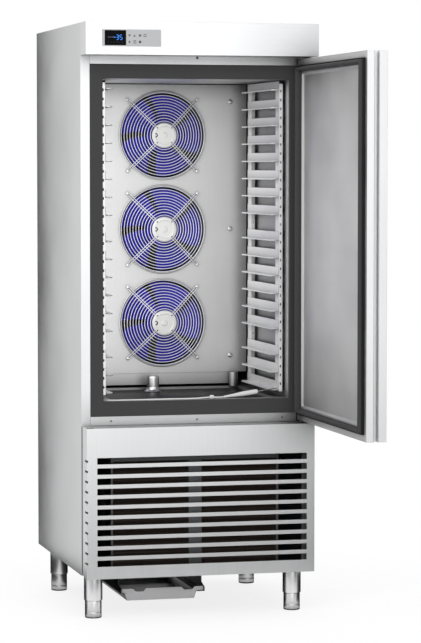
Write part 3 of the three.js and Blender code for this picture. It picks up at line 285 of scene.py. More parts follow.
def dust_group():
    """Dust that has settled on what faces up, in uneven patches."""
    tree, given, result = start_group(
        "settled_dust",
        [("Colour", "Color"), ("Roughness", "Float"), ("Amount", "Float")],
        [("Colour", "Color"), ("Roughness", "Float")],
    )
    normal = add_node(tree, "ShaderNodeNewGeometry").outputs["Normal"]
    upward = add_node(tree, "ShaderNodeSeparateXYZ", {0: normal}).outputs["Z"]
    spot = add_node(tree, "ShaderNodeTexCoord").outputs["Object"]
    patches = noise(tree, spot, DUST_SCALE, 4.0)
    level = math_node(tree, "MULTIPLY", math_node(tree, "MAXIMUM", upward, 0.0), patches)
    cover = math_node(tree, "MULTIPLY", level, given["Amount"])
    dusty = add_node(
        tree,
        "ShaderNodeMix",
        {0: cover, 6: given["Colour"], 7: DUST_TONE},
        data_type="RGBA",
    ).outputs[2]
    tree.links.new(dusty, result.inputs["Colour"])
    rough = math_node(tree, "MULTIPLY_ADD", cover, 0.4, given["Roughness"])
    tree.links.new(rough, result.inputs["Roughness"])
    return tree


def nook_group():
    """Shade in folds and recesses: within Reach metres, and darker the higher Depth is."""
    tree, given, result = start_group(
        "nook_shade", [("Colour", "Color"), ("Reach", "Float"), ("Depth", "Float")],
        [("Colour", "Color")],
    )
    white = (1.0, 1.0, 1.0, 1.0)
    nook = add_node(
        tree, "ShaderNodeAmbientOcclusion", {"Color": white, "Distance": given["Reach"]},
        samples=6,
    )
    shade = math_node(tree, "POWER", nook.outputs["AO"], given["Depth"])
    tree.links.new(scaled_colour(tree, given["Colour"], shade), result.inputs["Colour"])
    return tree


GROUPS = {}


def group_node(tree, group, **inputs):
    """A node for one of the groups, its inputs given by their names in lower case."""
    named = {label.title(): value for label, value in inputs.items()}
    return add_node(tree, "ShaderNodeGroup", named, node_tree=GROUPS[group])


def start_material(name, **constants):
    """A material with only a Principled shader, its plain values set on its own sockets."""
    material = bpy.data.materials.new(name)
    material.use_nodes = True
    tree = material.node_tree
    shader = next(node for node in tree.nodes if node.type == "BSDF_PRINCIPLED")
    for label, value in constants.items():
        label = label.replace("_", " ").title().replace("Ior", "IOR")
        shader.inputs[label].default_value = value
    return material, tree, shader


def connect_relief(tree, shader, height, strength, distance):
    """A bump of a height map to the shader."""
    inputs = {"Height": height, "Strength": strength, "Distance": distance}
    relief = add_node(tree, "ShaderNodeBump", inputs)
    tree.links.new(relief.outputs["Normal"], shader.inputs["Normal"])


def connect_finish(tree, shader, finish, bump, distance):
    """Colour, roughness and bump of a finish group to the shader."""
    tree.links.new(finish.outputs["Colour"], shader.inputs["Base Color"])
    tree.links.new(finish.outputs["Roughness"], shader.inputs["Roughness"])
    connect_relief(tree, shader, finish.outputs["Height"], bump, distance)


def steel_material(name, tone, streaks, roughness, contrast=0.14, bump=0.06, metallic=1.0,
                   reach=0.12, depth=1.0, edge=1.0):
    """Brushed steel. Edge is how bright it stays where it turns away, from 0 to 1."""
    material, tree, shader = start_material(
        name, metallic=metallic, specular_tint=(edge, edge, edge, 1.0)
    )
    finish = group_node(
        tree, "brushed_finish", tone=tone, streaks=streaks, contrast=contrast,
        roughness=roughness,
    )
    connect_finish(tree, shader, finish, bump, STREAK_RELIEF)
    # Painted shade: the nook_shade group darkens the colour in folds and recesses.
    shaded = group_node(
        tree, "nook_shade", colour=finish.outputs["Colour"], reach=reach, depth=depth
    )
    tree.links.new(shaded.outputs["Colour"], shader.inputs["Base Color"])
    return material


def moulded_material(name, tone, roughness, grain=GRAIN_SCALE, contrast=0.12, bump=0.12,
                     dust=0.0, **constants):
    """Plastic, rubber or paint with a fine grain, and dust where it is given."""
    material, tree, shader = start_material(name, **constants)
    finish = group_node(
        tree, "moulded_grain", tone=tone, grain=grain, contrast=contrast, roughness=roughness
    )
    connect_finish(tree, shader, finish, bump, GRAIN_RELIEF)
    if dust:
        colour, rough = finish.outputs["Colour"], finish.outputs["Roughness"]
        settled = group_node(tree, "settled_dust", colour=colour, roughness=rough, amount=dust)
        tree.links.new(settled.outputs["Colour"], shader.inputs["Base Color"])
        tree.links.new(settled.outputs["Roughness"], shader.inputs["Roughness"])
    return material


def foam_material():
    """Cut insulation foam: a pale yellow body full of small cells."""
    material, tree, shader = start_material(
        "insulation_foam", specular_ior_level=0.2, roughness=0.9
    )
    spot = add_node(tree, "ShaderNodeTexCoord").outputs["Object"]
    cells = add_node(tree, "ShaderNodeTexVoronoi", {"Vector": spot, "Scale": CELL_SCALE})
    ramp = add_node(tree, "ShaderNodeValToRGB", {"Fac": cells.outputs["Distance"]})
    ramp.color_ramp.elements[0].color = (0.5, 0.42, 0.2, 1.0)
    ramp.color_ramp.elements[1].color = (0.72, 0.65, 0.4, 1.0)
    tree.links.new(ramp.outputs["Color"], shader.inputs["Base Color"])
    connect_relief(tree, shader, cells.outputs["Distance"], 0.4, CELL_RELIEF)
    return material


def lit_material(name, colour, strength):
    """A lit segment, its glow a little uneven over its surface."""
    material, tree, shader = start_material(
        name, roughness=0.4, base_color=colour, emission_strength=strength
    )
    spot = add_node(tree, "ShaderNodeTexCoord").outputs["Object"]
    glow = math_node(tree, "MULTIPLY_ADD", noise(tree, spot, GRAIN_SCALE), 0.5, 0.75)
    tree.links.new(scaled_colour(tree, colour, glow), shader.inputs["Emission Color"])
    return material


# Streaks of a brushed finish: how often it changes along X, Y and Z, per metre.
UPRIGHT_GRAIN = (700.0, 700.0, 9.0)
LEVEL_GRAIN = (9.0, 700.0, 700.0)
DEPTH_GRAIN = (700.0, 9.0, 700.0)
TURNED_GRAIN = (60.0, 60.0, 1400.0)
BANDED_GRAIN = (0.4, 0.4, 3.6)
SPANGLE_GRAIN = (45.0, 45.0, 45.0)
PLAIN_GRAIN = (160.0, 160.0, 160.0)

MATERIALS = {}


def build_materials(colours):
    """Every finish, by name."""
    for build_group in (brushed_group, moulded_group, dust_group, nook_group):
        tree = build_group()
        GROUPS[tree.name] = tree
    satin, inner, bright = colours.satin_steel, colours.inner_steel, colours.bright_steel
    rack_look = {"metallic": 0.6, "reach": 0.03, "depth": 0.5}
    zinc_look = {"contrast": 0.4, "bump": 0.1, "reach": 0.3}
    steels = {
        # tone, streaks, roughness, what differs from a plain sheet
        "satin_upright": (satin, UPRIGHT_GRAIN, 0.38, {}),
        "satin_level": (satin, LEVEL_GRAIN, 0.38, {}),
        # Side panels: a darker copy of the satin steel, painted shade.
        "side_sheet": ((0.62, 0.625, 0.63, 1.0), UPRIGHT_GRAIN, 0.38, {}),
        # Grip channel: a lighter copy of the satin steel with less shade in its recess, painted
        # light.
        "groove_steel": ((0.75, 0.75, 0.755, 1.0), UPRIGHT_GRAIN, 0.4, {"depth": 0.3}),
        "inner_upright": (inner, UPRIGHT_GRAIN, 0.44, {"reach": 0.07}),
        "door_inner": (
            (0.64, 0.64, 0.635, 1.0), BANDED_GRAIN, 0.48, {"contrast": 0.36, "reach": 0.45}
        ),
        "bright_plain": (bright, PLAIN_GRAIN, 0.2, {}),
        "bright_turned": (
            (0.78, 0.78, 0.79, 1.0), TURNED_GRAIN, 0.32, {"reach": 0.06, "edge": 0.0}
        ),
        "bright_depth": ((0.95, 0.95, 0.95, 1.0), DEPTH_GRAIN, 0.4, rack_look),
        "tray_steel": ((0.62, 0.62, 0.63, 1.0), LEVEL_GRAIN, 0.35, {"depth": 1.8}),
        "grey_steel": ((0.3, 0.3, 0.31, 1.0), LEVEL_GRAIN, 0.35, {}),
        # Galvanised steel darker than bare zinc is: painted shade, set for the shaded machine
        # compartment.
        "galvanised_steel": ((0.2, 0.205, 0.21, 1.0), SPANGLE_GRAIN, 0.5, zinc_look),
        "copper_pipe": ((0.75, 0.33, 0.16, 1.0), PLAIN_GRAIN, 0.3, {}),
        "fin_aluminium": ((0.24, 0.245, 0.25, 1.0), UPRIGHT_GRAIN, 0.5, {}),
    }
    for name, (tone, streaks, roughness, extra) in steels.items():
        MATERIALS[name] = steel_material(name, tone, streaks, roughness, **extra)
    dull = {"specular_ior_level": 0.2}
    glass_look = {"grain": 300.0, "contrast": 0.1, "bump": 0.01, "specular_ior_level": 0.03}
    moulded = {
        # tone, roughness, what differs from a plain moulding
        "dark_plastic": (colours.frame_grey, 0.6, dull),
        "seal_rubber": (colours.seal_grey, 0.65, dull),
        # Near-black line beside the door seal: painted shadow of the gap.
        "seal_shadow_line": ((0.008, 0.008, 0.009, 1.0), 0.6, dull),
        "keypad_grey": ((0.6, 0.61, 0.62, 1.0), 0.4, {}),
        "icon_grey": ((0.055, 0.055, 0.06, 1.0), 0.5, {}),
        "display_black": ((0.004, 0.004, 0.005, 1.0), 0.2, glass_look),
        "faint_mark": ((0.07, 0.08, 0.1, 1.0), 0.4, {}),
        "board_green": ((0.03, 0.13, 0.06, 1.0), 0.5, {}),
        "motor_shell": ((0.72, 0.72, 0.71, 1.0), 0.4, {"metallic": 0.6}),
        # Near-black sheet on the pan's floor: painted shade.
        "pan_painted_shade": ((0.008, 0.008, 0.008, 1.0), 0.4, {"specular_ior_level": 0.04}),
        "blade_blue": (colours.blade_blue, 0.5, dull),
        "white_wire": (colours.wire_white, 0.35, {"metallic": 0.1}),
        "bush_white": ((0.78, 0.78, 0.74, 1.0), 0.45, {}),
        "probe_white": ((0.95, 0.95, 0.94, 1.0), 0.4, {}),
        "cable_silicone": ((0.96, 0.96, 0.95, 1.0), 0.5, {}),
        "gland_black": ((0.015, 0.015, 0.016, 1.0), 0.5, {}),
        # Black discs and arc on the motor caps: painted shade of their holes.
        "hole_painted_shade": ((0.006, 0.006, 0.006, 1.0), 0.8, {}),
        "black_blade": ((0.02, 0.02, 0.021, 1.0), 0.5, {"dust": 0.4}),
        "vessel_black": ((0.014, 0.014, 0.015, 1.0), 0.4, {"dust": 0.6}),
        "condenser_fins": ((0.075, 0.055, 0.043, 1.0), 0.6, {"dust": 0.3, "metallic": 0.4}),
        "flag_black": ((0.03, 0.03, 0.03, 1.0), 0.9, {"grain": 200.0}),
    }
    for name, (tone, roughness, extra) in moulded.items():
        MATERIALS[name] = moulded_material(name, tone, roughness, **extra)
    MATERIALS["digit_blue"] = lit_material("digit_blue", colours.digit_blue, 0.7)
    MATERIALS["insulation_foam"] = foam_material()


# ---------------------------------------------------------------------------
# Mesh helpers, in the cabinet's millimetres
# ---------------------------------------------------------------------------

# Points that lie closer than this become one: in a turned part, in millimetres, and in a
# finished piece and in a CAD node, in metres.
TURNED_JOIN = 1e-4
PIECE_JOIN = 2e-6
NODE_JOIN = 5e-6
LONGEST_CUT = 0.45  # how much of an outline's side a rounded corner may take
LEAST_BEND = math.radians(0.5)
FLAT_SHARE = 6.0  # a face this many times larger than the facets beside it is flat
FACING = {"front": Matrix.Rotation(math.radians(90.0), 4, "X"), "rear": ALONG_Y, "up": Matrix()}


def add_block(bm, x, y, z):
    """A block between two limits on each axis."""
    low, high = Vector((x[0], y[0], z[0])), Vector((x[1], y[1], z[1]))
    size = Matrix.Diagonal((*(high - low), 1.0))
    made = bmesh.ops.create_cube(bm, size=1.0, matrix=Matrix.Translation((low + high) / 2) @ size)
    return made["verts"]


def pour(bm, part, *matrices):
    """Moves a separate bmesh by each matrix in turn, adding a copy to bm each time."""
    for matrix in matrices or (Matrix(),):
        mesh = bpy.data.meshes.new("poured")
        part.to_mesh(mesh)
        mesh.transform(matrix)
        bm.from_mesh(mesh)
        bpy.data.meshes.remove(mesh)
    part.free()


def lathe(profile, steps):
    """A body turned about Z from (radius, height) points. It closes where they meet the axis
    or each other."""
    part = bmesh.new()
    line = [part.verts.new((radius, 0.0, height)) for radius, height in profile]
    edges = [part.edges.new(pair) for pair in zip(line, line[1:])]
    bmesh.ops.spin(
        part,
        geom=line + edges,
        cent=(0.0, 0.0, 0.0),
        axis=(0.0, 0.0, 1.0),
        dvec=(0.0, 0.0, 0.0),
        angle=2.0 * math.pi,
        steps=steps,
        use_merge=True,
        use_duplicate=False,
    )
    bmesh.ops.remove_doubles(part, verts=part.verts, dist=TURNED_JOIN)
    bmesh.ops.recalc_face_normals(part, faces=part.faces)
    return part


def rounded(profile, radius, steps=3):
    """A profile of (radius, height) points with its inner corners rounded off."""
    points = [Vector(point) for point in profile]
    smooth = [points[0]]
    for before, corner, after in zip(points, points[1:], points[2:]):
        back, on = before - corner, after - corner
        cut = min(radius, back.length * LONGEST_CUT, on.length * LONGEST_CUT)
        start, end = corner + back.normalized() * cut, corner + on.normalized() * cut
        for step in range(steps + 1):
            share = step / steps
            smooth.append(
                start * (1 - share) ** 2 + corner * 2 * share * (1 - share) + end * share**2
            )
    smooth.append(points[-1])
    return [tuple(point) for point in smooth]


def at(x, y, z, turn=Matrix()):
    return Matrix.Translation((x, y, z)) @ turn


def on_circle(radius, degrees):
    """A point of a circle about the origin, from its angle."""
    angle = math.radians(degrees)
    return radius * math.cos(angle), radius * math.sin(angle)


def new_items(made, kind=bmesh.types.BMVert):
    """The vertices, or the edges, that a bmesh operator has made."""
    return [item for item in made["geom"] if isinstance(item, kind)]


def wire_curve(name, points, radius, resolution):
    """A curve object of one round wire along points."""
    curve = bpy.data.curves.new(name, "CURVE")
    curve.dimensions = "3D"
    curve.bevel_depth = radius
    curve.bevel_resolution = resolution
    curve.use_fill_caps = True
    line = curve.splines.new("POLY")
    line.points.add(len(points) - 1)
    for spot, point in zip(line.points, points):
        spot.co = (*point, 1.0)
    wire = bpy.data.objects.new(name, curve)
    bpy.context.scene.collection.objects.link(wire)
    return wire


def add_wire(bm, points, radius, resolution=2):
    """A round wire along points, added to a bmesh."""
    wire = wire_curve("wire", points, radius, resolution)
    graph = bpy.context.evaluated_depsgraph_get()
    mesh = bpy.data.meshes.new_from_object(wire.evaluated_get(graph))
    curve = wire.data
    bpy.data.objects.remove(wire)
    bpy.data.curves.remove(curve)
    bm.from_mesh(mesh)
    bpy.data.meshes.remove(mesh)


# A pan-head screw with a recess, as shares of its radius.
SCREW_HEAD = [(0, 0.28), (0.34, 0.28), (0.4, 0.6), (0.75, 0.55), (1, 0.1), (1, 0), (0, 0)]


def screw_part(radius):
    """A pan-head screw about Z with its head up and a recess in it."""
    profile = [(radius * out, radius * up) for out, up in SCREW_HEAD]
    return lathe(rounded(profile, radius * 0.08, 2), 20)


def is_curved(face):
    """Whether a face is one facet of a curve: it bends softly to facets of its own size."""
    bends = [edge for edge in face.edges if edge.tag]
    beside = [other.calc_area() for edge in bends for other in edge.link_faces if other != face]
    return bool(beside) and face.calc_area() < FLAT_SHARE * max(beside)


def finish_piece(name, bm, finish, body, nodes=(), matrix=TO_FRAME, bevel=0.0, sheet=0.0,
                 sharp=32.0):
    """Turns a bmesh into a piece of the object, placed, shaded, dressed and riding."""
    bmesh.ops.transform(bm, matrix=matrix, verts=bm.verts)
    bmesh.ops.remove_doubles(bm, verts=bm.verts, dist=PIECE_JOIN)
    for edge in bm.edges:
        bend = edge.calc_face_angle(0.0)
        edge.smooth = bend < math.radians(sharp)
        edge.tag = edge.is_manifold and edge.smooth and bend > LEAST_BEND
    for face in bm.faces:
        face.smooth = is_curved(face)
    mesh = bpy.data.meshes.new(name)
    bm.to_mesh(mesh)
    bm.free()
    mesh.materials.append(MATERIALS[finish])
    piece = bpy.data.objects.new(name, mesh)
    bpy.context.scene.collection.objects.link(piece)
    if sheet:
        wall = piece.modifiers.new("sheet", "SOLIDIFY")
        wall.thickness = sheet / METRE
        wall.offset = -1.0
        wall.use_even_offset = True
    if bevel:
        edge = piece.modifiers.new("edges", "BEVEL")
        edge.width = bevel / METRE
        edge.segments = 2
        edge.limit_method = "ANGLE"
        edge.angle_limit = math.radians(sharp)
        edge.harden_normals = True
    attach(piece, body)
    if nodes:
        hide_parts(*nodes)
    return piece


def dress_copy(node, finish, bevel=0.0):
    """A merged copy of a CAD node with its edges rounded, which stands for the node."""
    bm = bmesh.new()
    bm.from_mesh(frame["nodes"][node].data)
    bmesh.ops.remove_doubles(bm, verts=bm.verts, dist=NODE_JOIN)
    bmesh.ops.dissolve_limit(bm, angle_limit=LEAST_BEND, verts=bm.verts, edges=bm.edges)
    return finish_piece(node + "_dressed", bm, finish, BODY_OF[node], [node], Matrix(), bevel)


def turned_piece(name, profile, steps, places, finish, body="cabinet", nodes=()):
    """A piece of equal turned bodies, one at each place."""
    bm = bmesh.new()
    pour(bm, lathe(profile, steps), *places)
    return finish_piece(name, bm, finish, body, nodes)


def block_piece(name, blocks, finish, nodes=(), bevel=0.0):
    """A piece of the cabinet made of blocks, each given by its limits on three axes."""
    bm = bmesh.new()
    for limits in blocks:
        add_block(bm, *limits)
    return finish_piece(name, bm, finish, "cabinet", nodes, bevel=bevel)


def dress_node(node, finish):
    """Gives a CAD node that stays its finish."""
    mesh = frame["nodes"][node].data
    mesh.materials.clear()
    mesh.materials.append(MATERIALS[finish])


# ---------------------------------------------------------------------------
# The stage: camera, floor, lamps and background
# ---------------------------------------------------------------------------

CAMERA_PLACE = (-2.1547, -8.7309, 1.5155)
CAMERA_TILT = 86.66
CAMERA_TURN = -14.10
CAMERA_LENS = 150.97
FLOOR_RADIUS = 6.0
FLOOR_GLOW = 0.82
FLOOR_FADE = (0.7, 1.6)
FLOOR_DROP = 0.0005
WORLD_LEVEL = 0.45
LAMPS = [
    # name, place, point it looks at, width and height in metres, watts
    ("key_lamp", (-3.0, -5.0, 4.2), (0.0, 0.0, 1.1), (2.6, 2.6), 105.0),
    ("front_softbox", (0.2, -6.0, 1.9), (0.0, 0.0, 1.2), (4.0, 4.0), 62.0),
    ("cavity_lamp", (-0.265, 0.24, 1.26), (0.3, 0.3, 1.26), (0.36, 1.0), 1.9),
]
FLAG_SHEET = 0.001
FLAGS = [
    # name, limits in X, Y and Z: dark sheets that are seen only reflected in the metal
    ("left_flag", (-0.54, -0.405), (0.95, 0.95), (0.0, 2.1)),
    ("right_flag", (0.76, 1.7), (-1.5, -1.5), (0.0, 2.1)),
    ("floor_flag", (-1.5, 2.2), (-2.5, -0.4), (0.004, 0.004)),
    ("left_leg_flag", (-0.5, -0.5), (0.06, 1.4), (0.0, 0.125)),
    ("left_inner_flag", (-0.27, -0.27), (0.06, 0.74), (0.0, 0.14)),
    ("right_inner_flag", (0.22, 0.22), (0.06, 0.74), (0.0, 0.14)),
    ("right_leg_flag", (0.46, 0.46), (-0.05, 1.4), (0.0, 0.125)),
    ("front_legs_flag", (-0.5, 0.46), (0.06, 0.26), (0.003, 0.003)),
    ("rear_legs_flag", (-0.5, 0.46), (0.76, 1.4), (0.003, 0.003)),
]


def background_strength(tree):
    """1 where the camera, glossy or transmission rays see the background, else 0."""
    rays = tree.nodes.new("ShaderNodeLightPath").outputs
    seen = math_node(tree, "MAXIMUM", rays["Is Camera Ray"], rays["Is Glossy Ray"])
    return math_node(tree, "MAXIMUM", seen, rays["Is Transmission Ray"])


class CHILLER_OT_stage(bpy.types.Operator):
    """Camera of the photograph, pale floor, soft lamps and white background"""

    bl_idname = "chiller.stage"
    bl_label = "Stage"

    def execute(self, context):
        scene = context.scene
        scene.view_settings.view_transform = "Standard"
        camera_data = bpy.data.cameras.new("camera")
        camera_data.lens = CAMERA_LENS
        camera_data.clip_end = 100.0
        camera = bpy.data.objects.new("camera", camera_data)
        camera.location = CAMERA_PLACE
        camera.rotation_euler = (math.radians(CAMERA_TILT), 0.0, math.radians(CAMERA_TURN))
        scene.collection.objects.link(camera)
        scene.camera = camera

        world = bpy.data.worlds.new("studio")
        world.use_nodes = True
        scene.world = world
        tree = world.node_tree
        background = next(node for node in tree.nodes if node.type == "BACKGROUND")
        background.inputs["Color"].default_value = (1.0, 1.0, 1.0, 1.0)
        ambient = math_node(tree, "MAXIMUM", background_strength(tree), WORLD_LEVEL)
        tree.links.new(ambient, background.inputs["Strength"])

        for name, place, goal, (width, height), watts in LAMPS:
            lamp_data = bpy.data.lights.new(name, "AREA")
            lamp_data.shape = "RECTANGLE"
            lamp_data.size = width
            lamp_data.size_y = height
            lamp_data.energy = watts
            lamp = bpy.data.objects.new(name, lamp_data)
            lamp.location = place
            lamp.visible_camera = False
            aim = Vector(goal) - Vector(place)
            lamp.rotation_euler = aim.to_track_quat("-Z", "Y").to_euler()
            scene.collection.objects.link(lamp)

        for name, *limits in FLAGS:
            bm = bmesh.new()
            add_block(bm, *[(low, high + FLAG_SHEET) for low, high in limits])
            flag = stage_object(name, bm, MATERIALS["flag_black"])
            for kind in ("camera", "diffuse", "shadow", "transmission"):
                setattr(flag, "visible_" + kind, False)

        bm = bmesh.new()
        bmesh.ops.create_circle(bm, cap_ends=True, segments=96, radius=FLOOR_RADIUS)
        floor = stage_object("floor", bm, floor_material())
        floor.location = (0.0, 0.0, -FLOOR_DROP)
        return {"FINISHED"}


def stage_object(name, bm, material):
    """Something of the studio: it isn't part of the object."""
    mesh = bpy.data.meshes.new(name)
    bm.to_mesh(mesh)
    bm.free()
    mesh.materials.append(material)
    thing = bpy.data.objects.new(name, mesh)
    bpy.context.scene.collection.objects.link(thing)
    return thing


def floor_material():
    """White floor near the object that keeps its shadow and fades to the background."""
    material, tree, shader = start_material(
        "floor",
        roughness=0.9,
        specular_ior_level=0.0,
        base_color=(0.3, 0.3, 0.3, 1.0),
        emission_color=(1.0, 1.0, 1.0, 1.0),
    )
    glow = math_node(tree, "MULTIPLY", background_strength(tree), FLOOR_GLOW)
    tree.links.new(glow, shader.inputs["Emission Strength"])
    output = next(node for node in tree.nodes if node.type == "OUTPUT_MATERIAL")
    spot = add_node(tree, "ShaderNodeTexCoord").outputs["Object"]
    far = add_node(tree, "ShaderNodeVectorMath", {0: spot}, operation="LENGTH").outputs["Value"]
    start, end = FLOOR_FADE
    fade = add_node(
        tree, "ShaderNodeMapRange", {"Value": far, "From Min": start, "From Max": end}
    ).outputs["Result"]
    clear = add_node(tree, "ShaderNodeBsdfTransparent")
    faded = add_node(
        tree, "ShaderNodeMixShader", {0: fade, 1: shader.outputs[0], 2: clear.outputs[0]}
    )
    tree.links.new(faded.outputs[0], output.inputs["Surface"])
    return material


# ---------------------------------------------------------------------------
# Core probe on its cable
# ---------------------------------------------------------------------------

CABLE_RADIUS = 2.25
GLAND_FLOOR = (79.3, 120.0, 1684.7)
HANG_START = 800.0
HANG_SHARES = (1.0, 0.972, 0.86, 0.72, 0.565, 0.407, 0.25, 0.113, 0.0)
CABLE_FOOT = [
    (79.3, 118.0, 762.0),
    (79.3, 109.0, 741.0),
    (79.3, 94.0, 731.5),
    (79.4, 76.0, 730.6),
    (80.5, 55.0, 730.6),
    (87.0, 38.0, 730.6),
    (101.0, 28.0, 730.6),
    (122.0, 25.0, 730.6),
]
CABLE_FLOOR = [
    # share of the way from the corner to the probe, depth, height
    (0.13, 24.5, 730.6),
    (0.29, 27.0, 730.6),
    (0.455, 29.0, 730.6),
    (0.615, 27.0, 730.8),
    (0.75, 26.0, 731.4),
    (0.818, 26.0, 733.0),
    (0.875, 26.0, 734.0),
    (0.907, 26.0, 734.0),
    (0.948, 25.6, 733.3),
    (1.0, 27.5, 733.8),
]
PROBE_START = Vector((493.0, 27.7, 733.9))
PROBE_AIM = Vector((700.0, 64.0, 758.0))
CABLE_END = 492.3
SLEEVE = [(4.6, 0), (4.6, 12), (6.4, 12), (6.4, 0), (4.6, 0)]
SLEEVE_PLACE = (446.0, 26.0, 734.8)
GLAND = ((75.3, 84.3), (112.0, 128.0), (1685.0, 1711.0))
HANDLE = [(0, 0), (3, 0), (4, 19), (4.6, 21), (4.2, 24), (8, 76), (8, 96), (7.4, 98),
          (8, 100), (8, 124), (6, 127), (0, 127)]
NEEDLE = [(0, 127.3), (1.8, 127.3), (1.8, 196), (0.6, 204), (0, 205.3)]


def cable_route():
    """The route's points in the cabinet's millimetres, as in the part's source."""
    left, depth, top = GLAND_FLOOR
    hang = [(left, depth, HANG_START + share * (top - HANG_START)) for share in HANG_SHARES]
    turn_end = CABLE_FOOT[-1][0]
    run = CABLE_END - turn_end
    along = [(turn_end + share * run, y, z) for share, y, z in CABLE_FLOOR]
    return [Vector(point) for point in hang + CABLE_FOOT + along]


def smooth_line(points, steps):
    """Points on a centripetal curve through the given points."""
    ends = [points[0] * 2 - points[1], *points, points[-1] * 2 - points[-2]]
    line = []
    for before, start, end, after in zip(ends, ends[1:], ends[2:], ends[3:]):
        first = (start - before).length ** 0.5
        middle = (end - start).length ** 0.5
        last = (after - end).length ** 0.5
        leave = (start - before) / first - (end - before) / (first + middle)
        leave = (leave + (end - start) / middle) * middle
        arrive = (end - start) / middle - (after - start) / (middle + last)
        arrive = (arrive + (after - end) / last) * middle
        for step in range(steps):
            t = step / steps
            line.append(
                start * (2 * t**3 - 3 * t**2 + 1)
                + leave * (t**3 - 2 * t**2 + t)
                + end * (3 * t**2 - 2 * t**3)
                + arrive * (t**3 - t**2)
            )
    return [*line, points[-1]]


class CHILLER_OT_probe(bpy.types.Operator):
    """Core probe: its cable, gland, loose sleeve, handle and needle"""

    bl_idname = "chiller.probe"
    bl_label = "Core probe"

    def execute(self, context):
        line = [TO_FRAME @ point for point in smooth_line(cable_route(), 6)]
        cable = wire_curve("probe_cable_run", line, CABLE_RADIUS / METRE, 3)
        cable.data.materials.append(MATERIALS["cable_silicone"])
        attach(cable, "cabinet")
        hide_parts("probe_cable")

        sleeve = turned_piece(
            "probe_sleeve", rounded(SLEEVE, 0.8), 24, [at(*SLEEVE_PLACE, ALONG_X)],
            "probe_white", nodes=["probe_ferrule"],
        )

        block_piece("probe_gland_block", [GLAND], "gland_black", ["probe_gland"], 1.6)
        aim = (PROBE_AIM - PROBE_START).normalized()
        turn = Vector((0, 0, 1)).rotation_difference(aim).to_matrix().to_4x4()
        place = Matrix.Translation(PROBE_START) @ turn
        turned_piece(
            "probe_grip", rounded(HANDLE, 3.0), 32, [place], "probe_white",
            nodes=["probe_handle"],
        )
        turned_piece(
            "probe_spike", NEEDLE, 16, [place], "bright_plain", nodes=["probe_needle"]
        )
        return {"FINISHED"}


# ---------------------------------------------------------------------------
# Cabinet shell
# ---------------------------------------------------------------------------

REAR_SCREW_HEIGHTS = (170.0, 560.0, 980.0, 1400.0, 1800.0, 1960.0)
REAR_SCREW_INSET = 34.0
REAR_SCREW_REACH = 125.0
TOP_SCREW_INSETS = (18.0, 40.0)
SILL_SCREW_REACH, SILL_SCREW_HEIGHT = 294.0, 664.0
HEADER_SCREW = (396.0, 0.0, 1867.5)


def add_screws(name, places, facing, radius, finish="bright_plain"):
    """Equal screws on the cabinet, with their heads facing one way."""
    bm = bmesh.new()
    pour(bm, screw_part(radius), *[at(*place, FACING[facing]) for place in places])
    return finish_piece(name, bm, finish, "cabinet")


class CHILLER_OT_shell(bpy.types.Operator):
    """Outer sheets of the cabinet with their screws"""

    bl_idname = "chiller.shell"
    bl_label = "Cabinet shell"

    def execute(self, context):
        radius = context.scene.chiller_sizes.edge_radius
        screw = context.scene.chiller_sizes.screw_radius
        for node, finish in {
            "side_panel_left": "side_sheet",
            "side_panel_right": "side_sheet",
            "rear_panel": "galvanised_steel",
            "top_panel": "satin_level",
            "front_header": "satin_level",
            "cell_floor_sheet": "satin_level",
        }.items():
            dress_copy(node, finish, radius)
        dress_node("base_panel", "galvanised_steel")
        heights, ends = REAR_SCREW_HEIGHTS, (REAR_SCREW_HEIGHTS[0], REAR_SCREW_HEIGHTS[-1])
        sides = (REAR_SCREW_INSET, CABINET_WIDTH - REAR_SCREW_INSET)
        inner = (MIDDLE - REAR_SCREW_REACH, MIDDLE + REAR_SCREW_REACH)
        rear = [(x, CABINET_DEPTH, z) for x in sides for z in heights]
        rear += [(x, CABINET_DEPTH, z) for x in inner for z in ends]
        add_screws("rear_panel_screws", rear, "rear", screw)
        across, deep = TOP_SCREW_INSETS
        columns = (across, MIDDLE, CABINET_WIDTH - across)
        rows = (deep, CABINET_DEPTH / 2, CABINET_DEPTH - deep)
        top = [(x, y, CABINET_HEIGHT) for x in columns for y in rows]
        add_screws("top_panel_screws", top, "up", screw * 0.6)
        sill = [(MIDDLE + reach, 0.0, SILL_SCREW_HEIGHT)
                for reach in (-SILL_SCREW_REACH, 0.0, SILL_SCREW_REACH)]
        add_screws("sill_screws", sill, "front", screw * 0.8, "grey_steel")
        add_screws("header_screws", [HEADER_SCREW], "front", screw, "gland_black")
        return {"FINISHED"}


# ---------------------------------------------------------------------------
# Insulated cell
# ---------------------------------------------------------------------------

PAN_FLOOR = ((119.2, 670.8), (45.2, 534.8), (719.9, 720.2))
PAN_CORNER = 14.0
STANDPIPE = [(12, 96), (14, 96), (14, 719.8), (33, 720.4), (24, 726), (21, 734), (21, 770),
             (20, 773), (18.6, 772.4), (18.6, 740), (12, 726), (12, 96)]
STANDPIPE_PLACE = (351.0, 470.0, 0.0)


